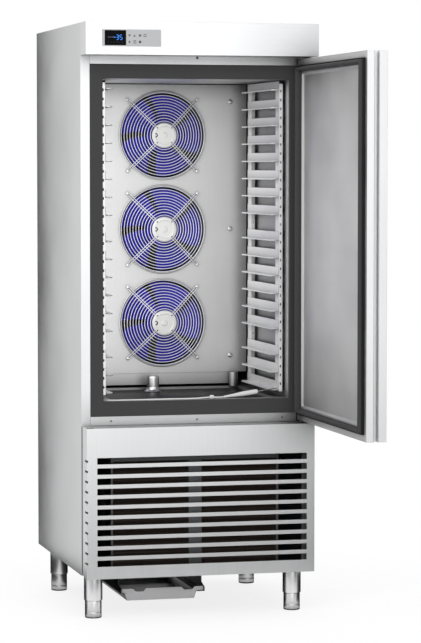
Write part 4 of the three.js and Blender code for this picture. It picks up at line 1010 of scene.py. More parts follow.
class CHILLER_OT_cell(bpy.types.Operator):
    """Chilling cavity: liner, drain pan, sealing frame, insulation and standpipe"""

    bl_idname = "chiller.cell"
    bl_label = "Chilling cavity"

    def execute(self, context):
        radius = context.scene.chiller_sizes.edge_radius
        dress_copy("inner_liner", "inner_upright", radius)
        dress_copy("breaker_frame", "dark_plastic", 1.0)
        dress_node("foam_insulation", "insulation_foam")

        # A thin near-black sheet, painted shade, lies on the floor of the sunken pan.
        bm = bmesh.new()
        pan = add_block(bm, *PAN_FLOOR)
        uprights = {edge for vert in pan for edge in vert.link_edges
                    if abs(edge.verts[0].co.z - edge.verts[1].co.z) > 0.1}
        bmesh.ops.bevel(
            bm, geom=list(uprights), offset=PAN_CORNER, segments=6, affect="EDGES",
            profile=0.5, material=-1,
        )
        finish_piece("pan_floor", bm, "pan_painted_shade", "cabinet")
        turned_piece(
            "drain_pipe", rounded(STANDPIPE, 2.5), 48, [at(*STANDPIPE_PLACE)],
            "bright_turned", nodes=["drain_standpipe"],
        )
        return {"FINISHED"}


# ---------------------------------------------------------------------------
# Fascia and controls
# ---------------------------------------------------------------------------

SEGMENTS = {
    # bars of a digit: middle across and up as shares of its width and height, and upright?
    "a": (0.5, 1.0, False),
    "b": (1.0, 0.75, True),
    "c": (1.0, 0.25, True),
    "d": (0.5, 0.0, False),
    "e": (0.0, 0.25, True),
    "f": (0.0, 0.75, True),
    "g": (0.5, 0.5, False),
}
DIGITS = {"3": "abgcd", "5": "afgcd", "-": "g"}
DISPLAY = (("-", 92.0), ("3", 101.5), ("5", 113.5))  # digits and their left sides
DIGIT_BOTTOM = 1921.0
DIGIT_SIZE, DIGIT_BAR, DIGIT_DEPTH = (7.6, 15.0), 2.2, 0.2
DISPLAY_DOTS = (
    # sides, radius, level, places across
    (6, 2.4, 1929.0, (76.0, 83.0, 90.0)),
    (8, 1.0, 1913.0, (76.0, 85.0, 94.0, 103.0, 112.0, 121.0)),
)
KEY_SHAPES = (
    # sides, radius, place across, level, turn: three arrows and a bell
    (3, 4.6, 145.4, 1935.5, 180.0),
    (3, 4.6, 162.1, 1933.5, 0.0),
    (3, 4.6, 145.4, 1913.8, 0.0),
    (5, 4.8, 180.5, 1914.2, 0.0),
)
STAR_PLACE, STAR_REACH = (180.5, 1935.0), 5.2
RING_PLACE, RING_INNER, RING_OUTER = (197.3, 1935.0), 3.2, 5.0
LINES_ACROSS, LINE_LEVELS = (158.4, 168.0), (1910.0, 1914.0, 1918.0)
MARK_DEPTH, MARK_HALF_WIDTH = 0.15, 0.9
FASCIA_SCREW, FASCIA_SCREW_RADIUS = (17.0, -84.0, CABINET_HEIGHT - 1.4), 3.4
OVERLAY_EDGE = 0.3


def add_digit(bm, digit, left, front):
    """One digit of the display, from the bars that it lights."""
    width, height = DIGIT_SIZE
    bar, bottom = DIGIT_BAR, DIGIT_BOTTOM
    for segment in DIGITS[digit]:
        across, up, upright = SEGMENTS[segment]
        x, z = left + across * width, bottom + up * height
        half_x = bar / 2 if upright else width / 2 - bar * 0.6
        half_z = height / 4 - bar * 0.6 if upright else bar / 2
        depth = (front, front + DIGIT_DEPTH)
        add_block(bm, (x - half_x, x + half_x), depth, (z - half_z, z + half_z))


def add_flat_shape(bm, sides, radius, x, z, front, thickness, turn=0.0):
    """A flat shape of several sides that faces the front."""
    shape = bmesh.new()
    bmesh.ops.create_cone(
        shape, cap_ends=True, segments=sides, radius1=radius, radius2=radius, depth=thickness
    )
    spin = Matrix.Rotation(math.radians(turn), 4, "Y")
    pour(bm, shape, at(x, front - thickness / 2, z, spin @ FACING["front"]))


class CHILLER_OT_fascia(bpy.types.Operator):
    """Folded fascia with its keypad and display"""

    bl_idname = "chiller.fascia"
    bl_label = "Fascia and controls"

    def execute(self, context):
        radius = context.scene.chiller_sizes.edge_radius
        dress_copy("fascia_panel", "satin_level", radius)
        dress_copy("keypad_overlay", "keypad_grey", OVERLAY_EDGE)
        dress_copy("display_window", "display_black", OVERLAY_EDGE)
        dress_node("control_board", "board_green")

        glass = OVERLAY_FRONT - 0.05
        bm = bmesh.new()
        for digit, left in DISPLAY:
            add_digit(bm, digit, left, glass)
        finish_piece("display_digits", bm, "digit_blue", "cabinet")
        bm = bmesh.new()
        for sides, dot_radius, level, places in DISPLAY_DOTS:
            for x in places:
                add_flat_shape(bm, sides, dot_radius, x, level, glass + 0.1, DIGIT_DEPTH)
        finish_piece("display_marks", bm, "faint_mark", "cabinet")
        self.add_key_marks()
        add_screws(
            "fascia_corner_screw", [FASCIA_SCREW], "up", FASCIA_SCREW_RADIUS, "gland_black"
        )
        return {"FINISHED"}

    def add_key_marks(self):
        """Plain marks on the seven keys: arrows, a snow star, a ring, bars and a bell."""
        face, thin, half = OVERLAY_FRONT, MARK_DEPTH, MARK_HALF_WIDTH
        bm = bmesh.new()
        for sides, radius, x, z, turn in KEY_SHAPES:
            add_flat_shape(bm, sides, radius, x, z, face, thin, turn)
        x, z = STAR_PLACE
        for turn in (0.0, 60.0, 120.0):
            bar = bmesh.new()
            add_block(bar, (-STAR_REACH, STAR_REACH), (-thin, 0.0), (-half, half))
            pour(bm, bar, at(x, face, z, Matrix.Rotation(math.radians(turn), 4, "Y")))
        x, z = RING_PLACE
        ring = [(RING_INNER, 0.0), (RING_OUTER, 0.0), (RING_OUTER, thin), (RING_INNER, thin),
                (RING_INNER, 0.0)]
        pour(bm, lathe(ring, 20), at(x, face, z, FACING["front"]))
        for level in LINE_LEVELS:
            add_block(bm, LINES_ACROSS, (face - thin, face), (level - half, level + half))
        finish_piece("keypad_marks", bm, "icon_grey", "cabinet")


class CHILLER_OT_grille_panel(bpy.types.Operator):
    """Slotted panel in front of the machine compartment"""

    bl_idname = "chiller.grille_panel"
    bl_label = "Slotted panel"

    def execute(self, context):
        dress_copy("lower_grille_panel", "satin_upright", 0.4)
        return {"FINISHED"}


# ---------------------------------------------------------------------------
# Door and its hinges
# ---------------------------------------------------------------------------

# What each step goes in from the last one, and how far it rises from the rim.
DISH_RIM, DISH_CORNER = 44.0, 12.0
DISH_STEPS = [(1.5, -0.4), (2.5, -3.0), (2.5, -3.0), (1.5, -0.5)]
SEAL_STEPS = [(0.01, 3.0), (2.5, 1.0), (0.01, 5.0), (1.0, 6.0), (2.5, 3.5), (2.0, 0.5),
              (1.96, 0.0), (2.0, -0.5), (2.5, -3.5), (1.0, -6.0), (0.01, -5.0), (2.5, -1.0),
              (0.01, -3.0)]
STRIP_STEPS = [(0.01, 9.0), (1.2, 0.0), (0.01, -9.0)]
LINER_INSET, SEAL_INSET, STRIP_INSET = 1.5, 23.0, 21.5
SEAL_LIFT = 0.3
BUSH_BORE, BUSH_WALL, FLANGE_RADIUS = 5.3, 8.3, 11.0
BUSHES = {
    # lowest and highest point of the sleeve, then of the flange
    "door_bush_upper": (1840.0, 1866.95, 1865.3, 1866.95),
    "door_bush_lower": (652.6, 680.0, 652.6, 654.7),
}
HINGE_SCREWS = [(x, -3.3, z) for x in (744.0, 766.0) for z in (665.0, 1883.0)]
HINGE_SCREW_RADIUS, HINGE_EDGE = 3.6, 0.6


def door_face(bm, inset, y):
    """An upright rectangle that faces the rear, inset from the door's edges."""
    return rect_face(
        bm, (DOOR_LEFT + inset, DOOR_RIGHT - inset), (DOOR_BOTTOM + inset, DOOR_TOP - inset), y
    )


def remove_face(bm, face):
    bmesh.ops.delete(bm, geom=[face], context="FACES")


def rect_face(bm, x, z, y):
    """An upright rectangle that faces the rear (+Y)."""
    made = bmesh.ops.create_grid(bm, x_segments=1, y_segments=1, size=0.5)
    size = Matrix.Diagonal((x[1] - x[0], z[1] - z[0], 1.0, 1.0))
    place = at((x[0] + x[1]) / 2, y, (z[0] + z[1]) / 2, FACING["rear"]) @ size
    bmesh.ops.transform(bm, matrix=place, verts=made["verts"])
    bm.normal_update()
    return made["verts"][0].link_faces[0]


def round_corners(bm, verts, radius, segments=5):
    bmesh.ops.bevel(
        bm, geom=verts, offset=radius, segments=segments, affect="VERTICES",
        profile=0.5, material=-1,
    )


def stepped(bm, face, steps):
    """Insets a face again and again: each step is how far in and how far out along it."""
    for inset, rise in steps:
        bmesh.ops.inset_region(
            bm, faces=[face], thickness=inset, depth=rise, use_even_offset=True,
            use_boundary=True,
        )
        bm.normal_update()
    return face


class CHILLER_OT_door(bpy.types.Operator):
    """Door: folded skin, grip channel, pressed inner panel, seal and bushes"""

    bl_idname = "chiller.door"
    bl_label = "Door"

    def execute(self, context):
        dress_copy("door_skin", "satin_upright", 0.5)
        dress_copy("door_handle_profile", "groove_steel", 0.4)
        dress_node("door_foam", "insulation_foam")

        # Inner panel: a flat rim, a shallow dish with rounded corners and sloping sides.
        bm = bmesh.new()
        face = stepped(bm, door_face(bm, LINER_INSET, DOOR_BACK), [(DISH_RIM, 0.0)])
        round_corners(bm, list(face.verts), DISH_CORNER)
        dish = max(bm.faces, key=lambda part: part.calc_area())
        stepped(bm, dish, DISH_STEPS)
        finish_piece(
            "door_inner_panel", bm, "door_inner", "door", ["door_liner"], DOOR_TO_FRAME,
            sheet=SHEET, sharp=50.0,
        )

        # Seal: a hollow lip with two grooves, all round the rim.
        base = DOOR_BACK + SEAL_LIFT
        bm = bmesh.new()
        remove_face(bm, stepped(bm, door_face(bm, SEAL_INSET, base), SEAL_STEPS))
        rim = [edge for edge in bm.edges if edge.is_boundary]
        bmesh.ops.bridge_loops(bm, edges=rim)
        finish_piece("door_seal", bm, "seal_rubber", "door", ["door_gasket"], DOOR_TO_FRAME)
        # A thin near-black wall just outside the seal: painted shadow of the gap between the seal
        # and the door panel.
        bm = bmesh.new()
        remove_face(bm, stepped(bm, door_face(bm, STRIP_INSET, base), STRIP_STEPS))
        finish_piece("door_seal_shadow_strip", bm, "seal_shadow_line", "door", matrix=DOOR_TO_FRAME)

        for name, (low, top, flange_low, flange_top) in BUSHES.items():
            bm = bmesh.new()
            for outer, bottom, end in (
                (BUSH_WALL, low, top),
                (FLANGE_RADIUS, flange_low, flange_top),
            ):
                ring = [(BUSH_BORE, bottom), (BUSH_BORE, end), (outer, end), (outer, bottom),
                        (BUSH_BORE, bottom)]
                pour(bm, lathe(ring, 32), at(PIVOT.x, PIVOT.y, 0.0))
            finish_piece(name + "_turned", bm, "bush_white", "door", [name], DOOR_TO_FRAME)
        return {"FINISHED"}


class CHILLER_OT_hinges(bpy.types.Operator):
    """Upper and lower hinge brackets on the cabinet with their screws"""

    bl_idname = "chiller.hinges"
    bl_label = "Hinge brackets"

    def execute(self, context):
        dress_copy("hinge_upper", "bright_plain", HINGE_EDGE)
        dress_copy("hinge_lower", "bright_plain", HINGE_EDGE)
        add_screws("hinge_screws", HINGE_SCREWS, "front", HINGE_SCREW_RADIUS, "grey_steel")
        return {"FINISHED"}


# ---------------------------------------------------------------------------
# Fan plate and fans
# ---------------------------------------------------------------------------

MOUTH_STEPS = 96
MOUTH_LIP = [(158.0, 0.0), (156.8, -1.2), (154.8, -1.7), (152.4, -1.4), (150.7, 0.0),
             (150.0, 2.4), (150.0, 24.0)]  # radius, and depth behind the plate's face
FOLD_DEPTH = 25.0
KNOB_X = 650.0
KNOB = [(0, 0), (8, 0), (8, 1.2), (5.6, 1.6), (5.6, 6.5), (4.6, 8), (0, 8)]


def add_mouth_tile(bm, height, bottom, top):
    """A piece of the fan plate with one round mouth and its rolled lip and collar."""
    part = bmesh.new()
    rims = []
    for radius, depth in MOUTH_LIP:
        rim = bmesh.ops.create_circle(part, segments=MOUTH_STEPS, radius=radius)["verts"]
        bmesh.ops.translate(part, vec=(0.0, 0.0, depth), verts=rim)
        rims.append(rim)
    left, right = PLATE_LEFT - FAN_X, PLATE_RIGHT - FAN_X
    low, high = bottom - height, top - height
    frame_rim = bmesh.ops.create_circle(part, segments=MOUTH_STEPS, radius=1.0)["verts"]
    for vert in frame_rim:
        x, z = vert.co.x, vert.co.y
        reach_x = (right if x > 0 else left) / x if abs(x) > 1e-6 else math.inf
        reach_z = (high if z > 0 else low) / z if abs(z) > 1e-6 else math.inf
        vert.co = vert.co * min(reach_x, reach_z)
    for corner in ((left, low), (left, high), (right, low), (right, high)):
        nearest = min(frame_rim, key=lambda vert: (vert.co.xy - Vector(corner)).length)
        nearest.co = (*corner, 0.0)
    rims.insert(0, frame_rim)
    for first, second in zip(rims, rims[1:]):
        edges = [edge for edge in part.edges
                 if set(edge.verts) <= set(first) or set(edge.verts) <= set(second)]
        bmesh.ops.bridge_loops(part, edges=edges)
    # The drawing's depth is the cabinet's, and its up is the cabinet's up.
    upright = Matrix(((1, 0, 0, FAN_X), (0, 0, 1, PLATE_FRONT), (0, 1, 0, height), (0, 0, 0, 1)))
    pour(bm, part, upright)


class CHILLER_OT_fan_plate(bpy.types.Operator):
    """Plate with three fan mouths, folded edges and knob screws"""

    bl_idname = "chiller.fan_plate"
    bl_label = "Fan plate"

    def execute(self, context):
        bm = bmesh.new()
        levels = [PLATE_BOTTOM, FAN_Z - FAN_PITCH / 2, FAN_Z + FAN_PITCH / 2, PLATE_TOP]
        for height, bottom, top in zip(sorted(FAN_HEIGHTS.values()), levels, levels[1:]):
            add_mouth_tile(bm, height, bottom, top)
        bmesh.ops.remove_doubles(bm, verts=bm.verts, dist=1e-3)
        bmesh.ops.recalc_face_normals(bm, faces=bm.faces)
        if sum(face.normal.y * face.calc_area() for face in bm.faces) > 0:
            bmesh.ops.reverse_faces(bm, faces=bm.faces)
        folds = [
            edge for edge in bm.edges
            if edge.is_boundary
            and all(
                abs(vert.co.x - PLATE_LEFT) < 0.01 or abs(vert.co.x - PLATE_RIGHT) < 0.01
                or abs(vert.co.z - PLATE_TOP) < 0.01
                for vert in edge.verts
            )
        ]
        made = bmesh.ops.extrude_edge_only(bm, edges=folds)
        bmesh.ops.translate(bm, vec=(0.0, FOLD_DEPTH, 0.0), verts=new_items(made))
        finish_piece(
            "fan_plate_pressed", bm, "inner_upright", "cabinet", ["fan_plate"], sheet=SHEET
        )

        places = [at(KNOB_X, PLATE_FRONT, z, FACING["front"]) for z in KNOB_HEIGHTS]
        turned_piece("fan_plate_knobs", rounded(KNOB, 0.8), 24, places, "bright_plain")
        return {"FINISHED"}


GUARD_RING = 50.0  # radius of a guard's smallest ring
GUARD_LIFT, GUARD_DOME, GUARD_DIP = 8.0, 22.0, 5.1
SPOKE_ANGLES = (45.0, 135.0, 225.0, 315.0)
SPOKE_RUN = (43.0, 47.0, 52.0, 100.0, 150.0, 173.0)  # distances from the axis
SPOKE_HALF_WIDTH = 3.7
SPOKE_IN_FRONT = 0.9
LOOP_RADIUS = 5.2
SCREW_CIRCLE = 178.0
GUARD_SCREW = [(0, 0), (2.6, 0), (2.6, 3.4), (5.0, 3.4), (4.2, 6), (1.6, 6.4), (1.2, 5.4),
               (0, 5.4)]
MOTOR_CAP_LIFT = 35.3
MOTOR = [(0, 0), (9, 0), (10, 0.8), (31, 0.8), (32, 0), (42, 0.4), (45, 2.6), (45, 5),
         (40, 5.4), (40, 27), (12, 27), (12, 29), (6, 29), (6, 87), (0, 87)]
DIMPLE = [(0, 0.0), (2.4, 0.0), (2.4, 0.7), (0, 0.7)]
DIMPLE_CIRCLE = 37.0
SLOT_OFFSET, SLOT_RADIUS, SLOT_WIRE = 32.0, 6.0, 1.7
BLADES, HUB_RADIUS, BLADE_SPAN, BLADE_SHEET = 5, 56.0, 143.0, 1.8
BLADE_SWEEP, BLADE_PITCH = 60.0, 30.0
BLADE_LAG, BLADE_CAMBER = 8.0, 3.0
BLADE_START = 39.0
ROTOR_LIFT, BLADE_DEPTH = 5.3, 6.0  # before and behind the plate's face
ROTOR_HUB = [(6.4, 0), (20, 0), (20, 3), (50, 3), (50, 0), (56, 1), (56, 62), (50, 62),
             (50, 58), (6.4, 58), (6.4, 0)]


def guard_lift(radius):
    """How far a guard's wire stands in front of the plate, by its distance from the axis."""
    if radius <= MOUTH_RADIUS:
        inwards = (MOUTH_RADIUS - radius) / (MOUTH_RADIUS - GUARD_RING)
        return GUARD_LIFT + GUARD_DOME * min(1.0, inwards)
    outwards = (radius - MOUTH_RADIUS) / (SCREW_CIRCLE - MOUTH_RADIUS)
    return GUARD_LIFT - GUARD_DIP * min(1.0, outwards)


def spoke_points(angle, wire):
    """One doubled spoke: out along one side, round its screw and back on the other side."""
    along = Vector((math.cos(angle), 0.0, math.sin(angle)))
    across = Vector((-math.sin(angle), 0.0, math.cos(angle)))
    run = [(out, -SPOKE_HALF_WIDTH) for out in SPOKE_RUN]
    turns = [on_circle(LOOP_RADIUS, turn) for turn in range(-120, 121, 30)]
    loop = [(SCREW_CIRCLE + out, side) for out, side in turns]
    back = [(out, -side) for out, side in reversed(run)]
    points = []
    for out, side in run + loop + back:
        in_front = SPOKE_IN_FRONT if GUARD_RING < out <= MOUTH_RADIUS else 0.0
        y = PLATE_FRONT - guard_lift(out) + wire / 2 - in_front
        points.append(along * out + across * side + Vector((0.0, y, 0.0)))
    return points


def add_guard(name, height, rings, wire):
    """Wire guard: rings that rise to the middle, four doubled spokes and their screws."""
    bm = bmesh.new()
    radius = wire / 2
    pitch = (MOUTH_RADIUS - GUARD_RING) / (rings - 1)
    for ring in range(rings):
        out = GUARD_RING + ring * pitch
        round_wire = [on_circle(radius, turn) for turn in range(0, 361, 45)]
        section = [(out + across, up) for across, up in round_wire]
        y = PLATE_FRONT - guard_lift(out) + radius
        pour(bm, lathe(section, 72), at(FAN_X, y, height, ALONG_Y))
    place = Vector((FAN_X, 0.0, height))
    for angle in SPOKE_ANGLES:
        points = spoke_points(math.radians(angle), wire)
        add_wire(bm, [point + place for point in points], radius)
    finish_piece(f"fan_guard_{name}", bm, "white_wire", "cabinet", [f"fan_grille_{name}"])
    reach = SCREW_CIRCLE * math.sqrt(0.5)
    corners = [
        at(FAN_X + sx * reach, PLATE_FRONT, height + sz * reach, FACING["front"])
        for sx in (-1, 1) for sz in (-1, 1)
    ]
    turned_piece(
        f"fan_guard_screws_{name}", rounded(GUARD_SCREW, 0.5), 20, corners, "bright_plain"
    )


def add_motor(name, height):
    """External-rotor motor: a cap, a can and a shaft, with black discs and a black arc on the cap
    that paint the shade of its dimples and curved slot.
    """
    front = PLATE_FRONT - MOTOR_CAP_LIFT
    turned_piece(
        f"fan_can_{name}", rounded(MOTOR, 1.0), 64, [at(FAN_X, front, height, ALONG_Y)],
        "motor_shell", nodes=[f"fan_motor_{name}"],
    )
    # Black discs and a black arc standing a little proud of the cap: painted shade of the dimples
    # and the slot.
    bm = bmesh.new()
    spots = [on_circle(DIMPLE_CIRCLE, turn) for turn in SPOKE_ANGLES]
    pour(bm, lathe(DIMPLE, 16),
         *[at(FAN_X + x, front - 0.1, height + z, ALONG_Y) for x, z in spots])
    arc = [on_circle(SLOT_RADIUS, turn) for turn in range(-110, 111, 20)]
    add_wire(bm, [(FAN_X - SLOT_OFFSET + x, front + 0.7, height + z) for x, z in arc], SLOT_WIRE)
    finish_piece(f"fan_can_hole_shade_{name}", bm, "hole_painted_shade", "cabinet")


def add_blades(bm, front, start=0.0):
    """Five curved, pitched blades about the Y axis, their leading edges at front."""
    root = HUB_RADIUS - 4.0
    for number in range(BLADES):
        blade = bmesh.new()
        bmesh.ops.create_grid(blade, x_segments=14, y_segments=7, size=0.5)
        for vert in blade.verts:
            round_share, out_share = vert.co.x + 0.5, vert.co.y + 0.5
            radius = root + out_share * (BLADE_SPAN - root)
            lag = BLADE_LAG * out_share**2
            turn = start + 360.0 / BLADES * number + lag + BLADE_SWEEP * round_share
            camber = BLADE_CAMBER * math.sin(math.pi * round_share)
            y = front + 1.0 + BLADE_PITCH * round_share - camber * (1 - round_share)
            x, z = on_circle(radius, turn)
            vert.co = (x, y, z)
        bmesh.ops.recalc_face_normals(blade, faces=blade.faces)
        bmesh.ops.solidify(blade, geom=blade.faces[:], thickness=BLADE_SHEET)
        bmesh.ops.recalc_face_normals(blade, faces=blade.faces)
        pour(bm, blade)


class CHILLER_OT_fans(bpy.types.Operator):
    """Three evaporator fans: wire guards, motors and rotors"""

    bl_idname = "chiller.fans"
    bl_label = "Evaporator fans"

    def execute(self, context):
        sizes = context.scene.chiller_sizes
        for name, height in FAN_HEIGHTS.items():
            add_guard(name, height, sizes.guard_rings, sizes.guard_wire)
            add_motor(name, height)
            bm = bmesh.new()
            hub = lathe(rounded(ROTOR_HUB, 1.5), 48)
            pour(bm, hub, at(0.0, PLATE_FRONT - ROTOR_LIFT, 0.0, ALONG_Y))
            add_blades(bm, PLATE_FRONT + BLADE_DEPTH, BLADE_START)
            bmesh.ops.translate(bm, vec=(FAN_X, 0.0, height), verts=bm.verts)
            finish_piece(
                f"fan_blades_{name}", bm, "blade_blue", f"fan_{name}", [f"fan_rotor_{name}"]
            )
        return {"FINISHED"}


# ---------------------------------------------------------------------------
# Evaporator and its tray
# ---------------------------------------------------------------------------

COIL_FRONT = 604.0
COIL_BOTTOM, COIL_TOP = 790.0, 1780.0
COIL_END, COIL_CLEARANCE = 2.0, 1.5
COIL_FIN_PITCH, COIL_TUBE_RADIUS = 7.0, 5.0
COIL_ROWS, COIL_ROW_START, COIL_ROW_PITCH = 18, 818.0, 55.0
COIL_TUBE_DEPTHS = (630.0, 665.0, 700.0)
LUG_FRONT, LUG_HALF_HEIGHT = 546.5, 30.0
FIN_SHEET = 0.5


def add_fins(bm, left, right, pitch, y, z):
    """Upright fins from left to right, as close to the pitch as they divide."""
    count = int((right - left) / pitch)
    step = (right - left - FIN_SHEET) / count
    for fin in range(count + 1):
        x = left + fin * step
        add_block(bm, (x, x + FIN_SHEET), y, z)


def add_tubes(bm, left, right, radius, depths, heights):
    """Level tubes through a fin block, in rows."""
    for height in heights:
        for depth in depths:
            rod = lathe([(0, left), (radius, left), (radius, right), (0, right)], 12)
            pour(bm, rod, at(0.0, depth, height, ALONG_X))


class CHILLER_OT_evaporator(bpy.types.Operator):
    """Finned evaporator block behind the fan plate, and the tray below it"""

    bl_idname = "chiller.evaporator"
    bl_label = "Evaporator"

    def execute(self, context):
        left, right = COIL_LEFT + COIL_CLEARANCE, COIL_RIGHT - COIL_CLEARANCE
        rear = CAVITY_REAR - 0.3
        bm = bmesh.new()
        depth, height = (COIL_FRONT + 2.0, rear - 1.0), (COIL_BOTTOM + 2.0, COIL_TOP - 2.0)
        add_fins(bm, left + 2.5, right - 2.5, COIL_FIN_PITCH, depth, height)
        finish_piece("evaporator_fins", bm, "fin_aluminium", "cabinet")
        blocks = []
        for plate in ((left, left + COIL_END), (right - COIL_END, right)):
            blocks.append((plate, (COIL_FRONT, rear), (COIL_BOTTOM, COIL_TOP)))
            for level in KNOB_HEIGHTS:
                lug = (level - LUG_HALF_HEIGHT, level + LUG_HALF_HEIGHT)
                blocks.append((plate, (LUG_FRONT, COIL_FRONT), lug))
        block_piece("evaporator_ends", blocks, "galvanised_steel", ["evaporator_coil"], 0.4)
        bm = bmesh.new()
        rows = [COIL_ROW_START + row * COIL_ROW_PITCH for row in range(COIL_ROWS)]
        add_tubes(bm, left + 2.2, right - 2.2, COIL_TUBE_RADIUS, COIL_TUBE_DEPTHS, rows)
        finish_piece("evaporator_tubes", bm, "fin_aluminium", "cabinet")
        dress_copy("evaporator_tray", "inner_upright", 0.5)
        return {"FINISHED"}


# ---------------------------------------------------------------------------
# Tray racks
# ---------------------------------------------------------------------------

UPRIGHT_BOTTOM, UPRIGHT_TOP = 746.0, 1786.0
UPRIGHT_WIDTH = 46.0
UPRIGHT_NEAR, UPRIGHT_FAR = 8.0, 20.0  # distances from the cavity's wall
SLOT_NEAR, SLOT_FAR = 12.0, 16.0
SLOT_HEIGHT, SLOT_GAP = 9.0, 21.0
RUNNER_FACE, RUNNER_TIP = 21.7, 46.0  # distances from the cavity's wall
RUNNER_CORNER, RUNNER_LIP, RUNNER_FLANGE = 11.0, 4.0, 27.0
RACK_SHEET = 1.5
PEG_RADIUS, PEG_LENGTH = 5.0, 19.0
PEG_DEPTHS, PEG_HEIGHTS = (83.0, 444.0), (806.0, 1726.0)


def add_upright(bm, wall, side, rear_end, front):
    """A folded upright with a row of keyhole slots in its front return."""
    near, far = wall + side * UPRIGHT_NEAR, wall + side * UPRIGHT_FAR
    section = [
        (near, front), (wall + side * SLOT_NEAR, front), (wall + side * SLOT_FAR, front),
        (far, front), (far, rear_end), (near, rear_end),
    ]
    part = bmesh.new()
    line = [part.verts.new((x, y, UPRIGHT_BOTTOM)) for x, y in section]
    edges = [part.edges.new(pair) for pair in zip(line, line[1:])]
    height = UPRIGHT_BOTTOM
    slotted = False
    while height < UPRIGHT_TOP - 0.1:
        rise = min(SLOT_HEIGHT if slotted else SLOT_GAP, UPRIGHT_TOP - height)
        made = bmesh.ops.extrude_edge_only(part, edges=edges)
        edges = new_items(made, bmesh.types.BMEdge)
        bmesh.ops.translate(part, vec=(0.0, 0.0, rise), verts=new_items(made))
        height += rise
        if slotted:
            spot = Vector((wall + side * (SLOT_NEAR + SLOT_FAR) / 2, front, height - rise / 2))
            hole = [face for face in part.faces
                    if (face.calc_center_median() - spot).length < 0.5]
            bmesh.ops.delete(part, geom=hole, context="FACES_ONLY")
        slotted = not slotted
    bmesh.ops.recalc_face_normals(part, faces=part.faces)
    web = max(part.faces, key=lambda face: abs(face.calc_center_median().x - wall))
    if web.normal.x * side < 0:
        bmesh.ops.reverse_faces(part, faces=part.faces)
    pour(bm, part)


def add_runner(bm, wall, side, top):
    """A tray ledge with rounded corners, a small lip and a flange that stands up behind it."""
    face_x, tip_x = wall + side * RUNNER_FACE, wall + side * RUNNER_TIP
    part = bmesh.new()
    made = bmesh.ops.create_grid(part, x_segments=1, y_segments=1, size=0.5)
    size = Matrix.Diagonal((abs(tip_x - face_x), RACK_REAR - RACK_FRONT, 1.0, 1.0))
    place = at((face_x + tip_x) / 2, (RACK_FRONT + RACK_REAR) / 2, top)
    bmesh.ops.transform(part, matrix=place @ size, verts=made["verts"])
    tips = [vert for vert in part.verts if abs(vert.co.x - tip_x) < 0.1]
    round_corners(part, tips, RUNNER_CORNER, 4)
    fold = [edge for edge in part.edges
            if all(abs(vert.co.x - face_x) < 0.1 for vert in edge.verts)]
    rim = [edge for edge in part.edges if edge not in fold]
    for edges, rise in ((rim, -RUNNER_LIP), (fold, RUNNER_FLANGE)):
        made = bmesh.ops.extrude_edge_only(part, edges=edges)
        bmesh.ops.translate(part, vec=(0.0, 0.0, rise), verts=new_items(made))
    bmesh.ops.recalc_face_normals(part, faces=part.faces)
    ledge = max(part.faces, key=lambda face: abs(face.normal.z))
    if ledge.normal.z < 0:
        bmesh.ops.reverse_faces(part, faces=part.faces)
    pour(bm, part)


class CHILLER_OT_racks(bpy.types.Operator):
    """Left and right tray racks: slotted uprights, folded ledges and wall pegs"""

    bl_idname = "chiller.racks"
    bl_label = "Tray racks"

    def execute(self, context):
        for name, side, wall in (("left", 1, CAVITY_LEFT), ("right", -1, CAVITY_RIGHT)):
            bm = bmesh.new()
            add_upright(bm, wall, side, RACK_FRONT + UPRIGHT_WIDTH, RACK_FRONT)
            add_upright(bm, wall, side, RACK_REAR, RACK_REAR - UPRIGHT_WIDTH)
            for top in RUNNER_TOPS:
                add_runner(bm, wall, side, top)
            finish_piece(
                f"rack_{name}_folded", bm, "bright_depth", "cabinet", [f"rack_{name}"],
                sheet=RACK_SHEET,
            )
            start, end = sorted((wall + side * 0.3, wall + side * PEG_LENGTH))
            peg = [(0, start), (PEG_RADIUS, start), (PEG_RADIUS, end), (0, end)]
            places = [at(0.0, y, z, ALONG_X) for y in PEG_DEPTHS for z in PEG_HEIGHTS]
            turned_piece(f"rack_{name}_pegs", peg, 20, places, "bright_plain")
        return {"FINISHED"}


# ---------------------------------------------------------------------------
# Machine compartment
# ---------------------------------------------------------------------------

FRAME_BAR = 8.0
TOP_BAR = CONDENSER_TOP - 14.0
FRAME_DEPTH = (-34.0, 34.0)
FIN_DEPTH = (-28.0, 28.0)
CONDENSER_ROWS, CONDENSER_ROW_START, CONDENSER_ROW_PITCH = 14, 18.0, 27.0
CONDENSER_TUBE_RADIUS, CONDENSER_TUBE_DEPTHS = 4.7, (-16.0, 10.0)
CENTRE_BAR = ((357.5, 402.5), (-33.0, -27.5), (COMPARTMENT_FLOOR + 1.0, TOP_BAR - 0.1))
REAR_SLOT_SHADE = ((136.0, 654.0), (786.4, 787.2), (214.0, 526.0))
CONDENSER_FAN_X, CONDENSER_FAN_Z = 380.0, 355.0
CONDENSER_HUB_FRONT, CONDENSER_BLADE_FRONT, CONDENSER_FAN_BACK = 66.0, 74.0, 131.0
CONDENSER_HUB = [(6.4, 0), (56, 0), (56, 62), (6.4, 62), (6.4, 0)]
CONDENSER_CAN = [(0, -58), (6, -58), (6, 0), (45, 0), (45, 60), (0, 60)]
MOTOR_POST = ((360.0, 400.0), (183.0, 190.8), (COMPARTMENT_FLOOR + 0.2, CONDENSER_FAN_Z))
MOTOR_FOOT = ((340.0, 420.0), (151.0, 191.0), (COMPARTMENT_FLOOR, COMPARTMENT_FLOOR + 3.0))


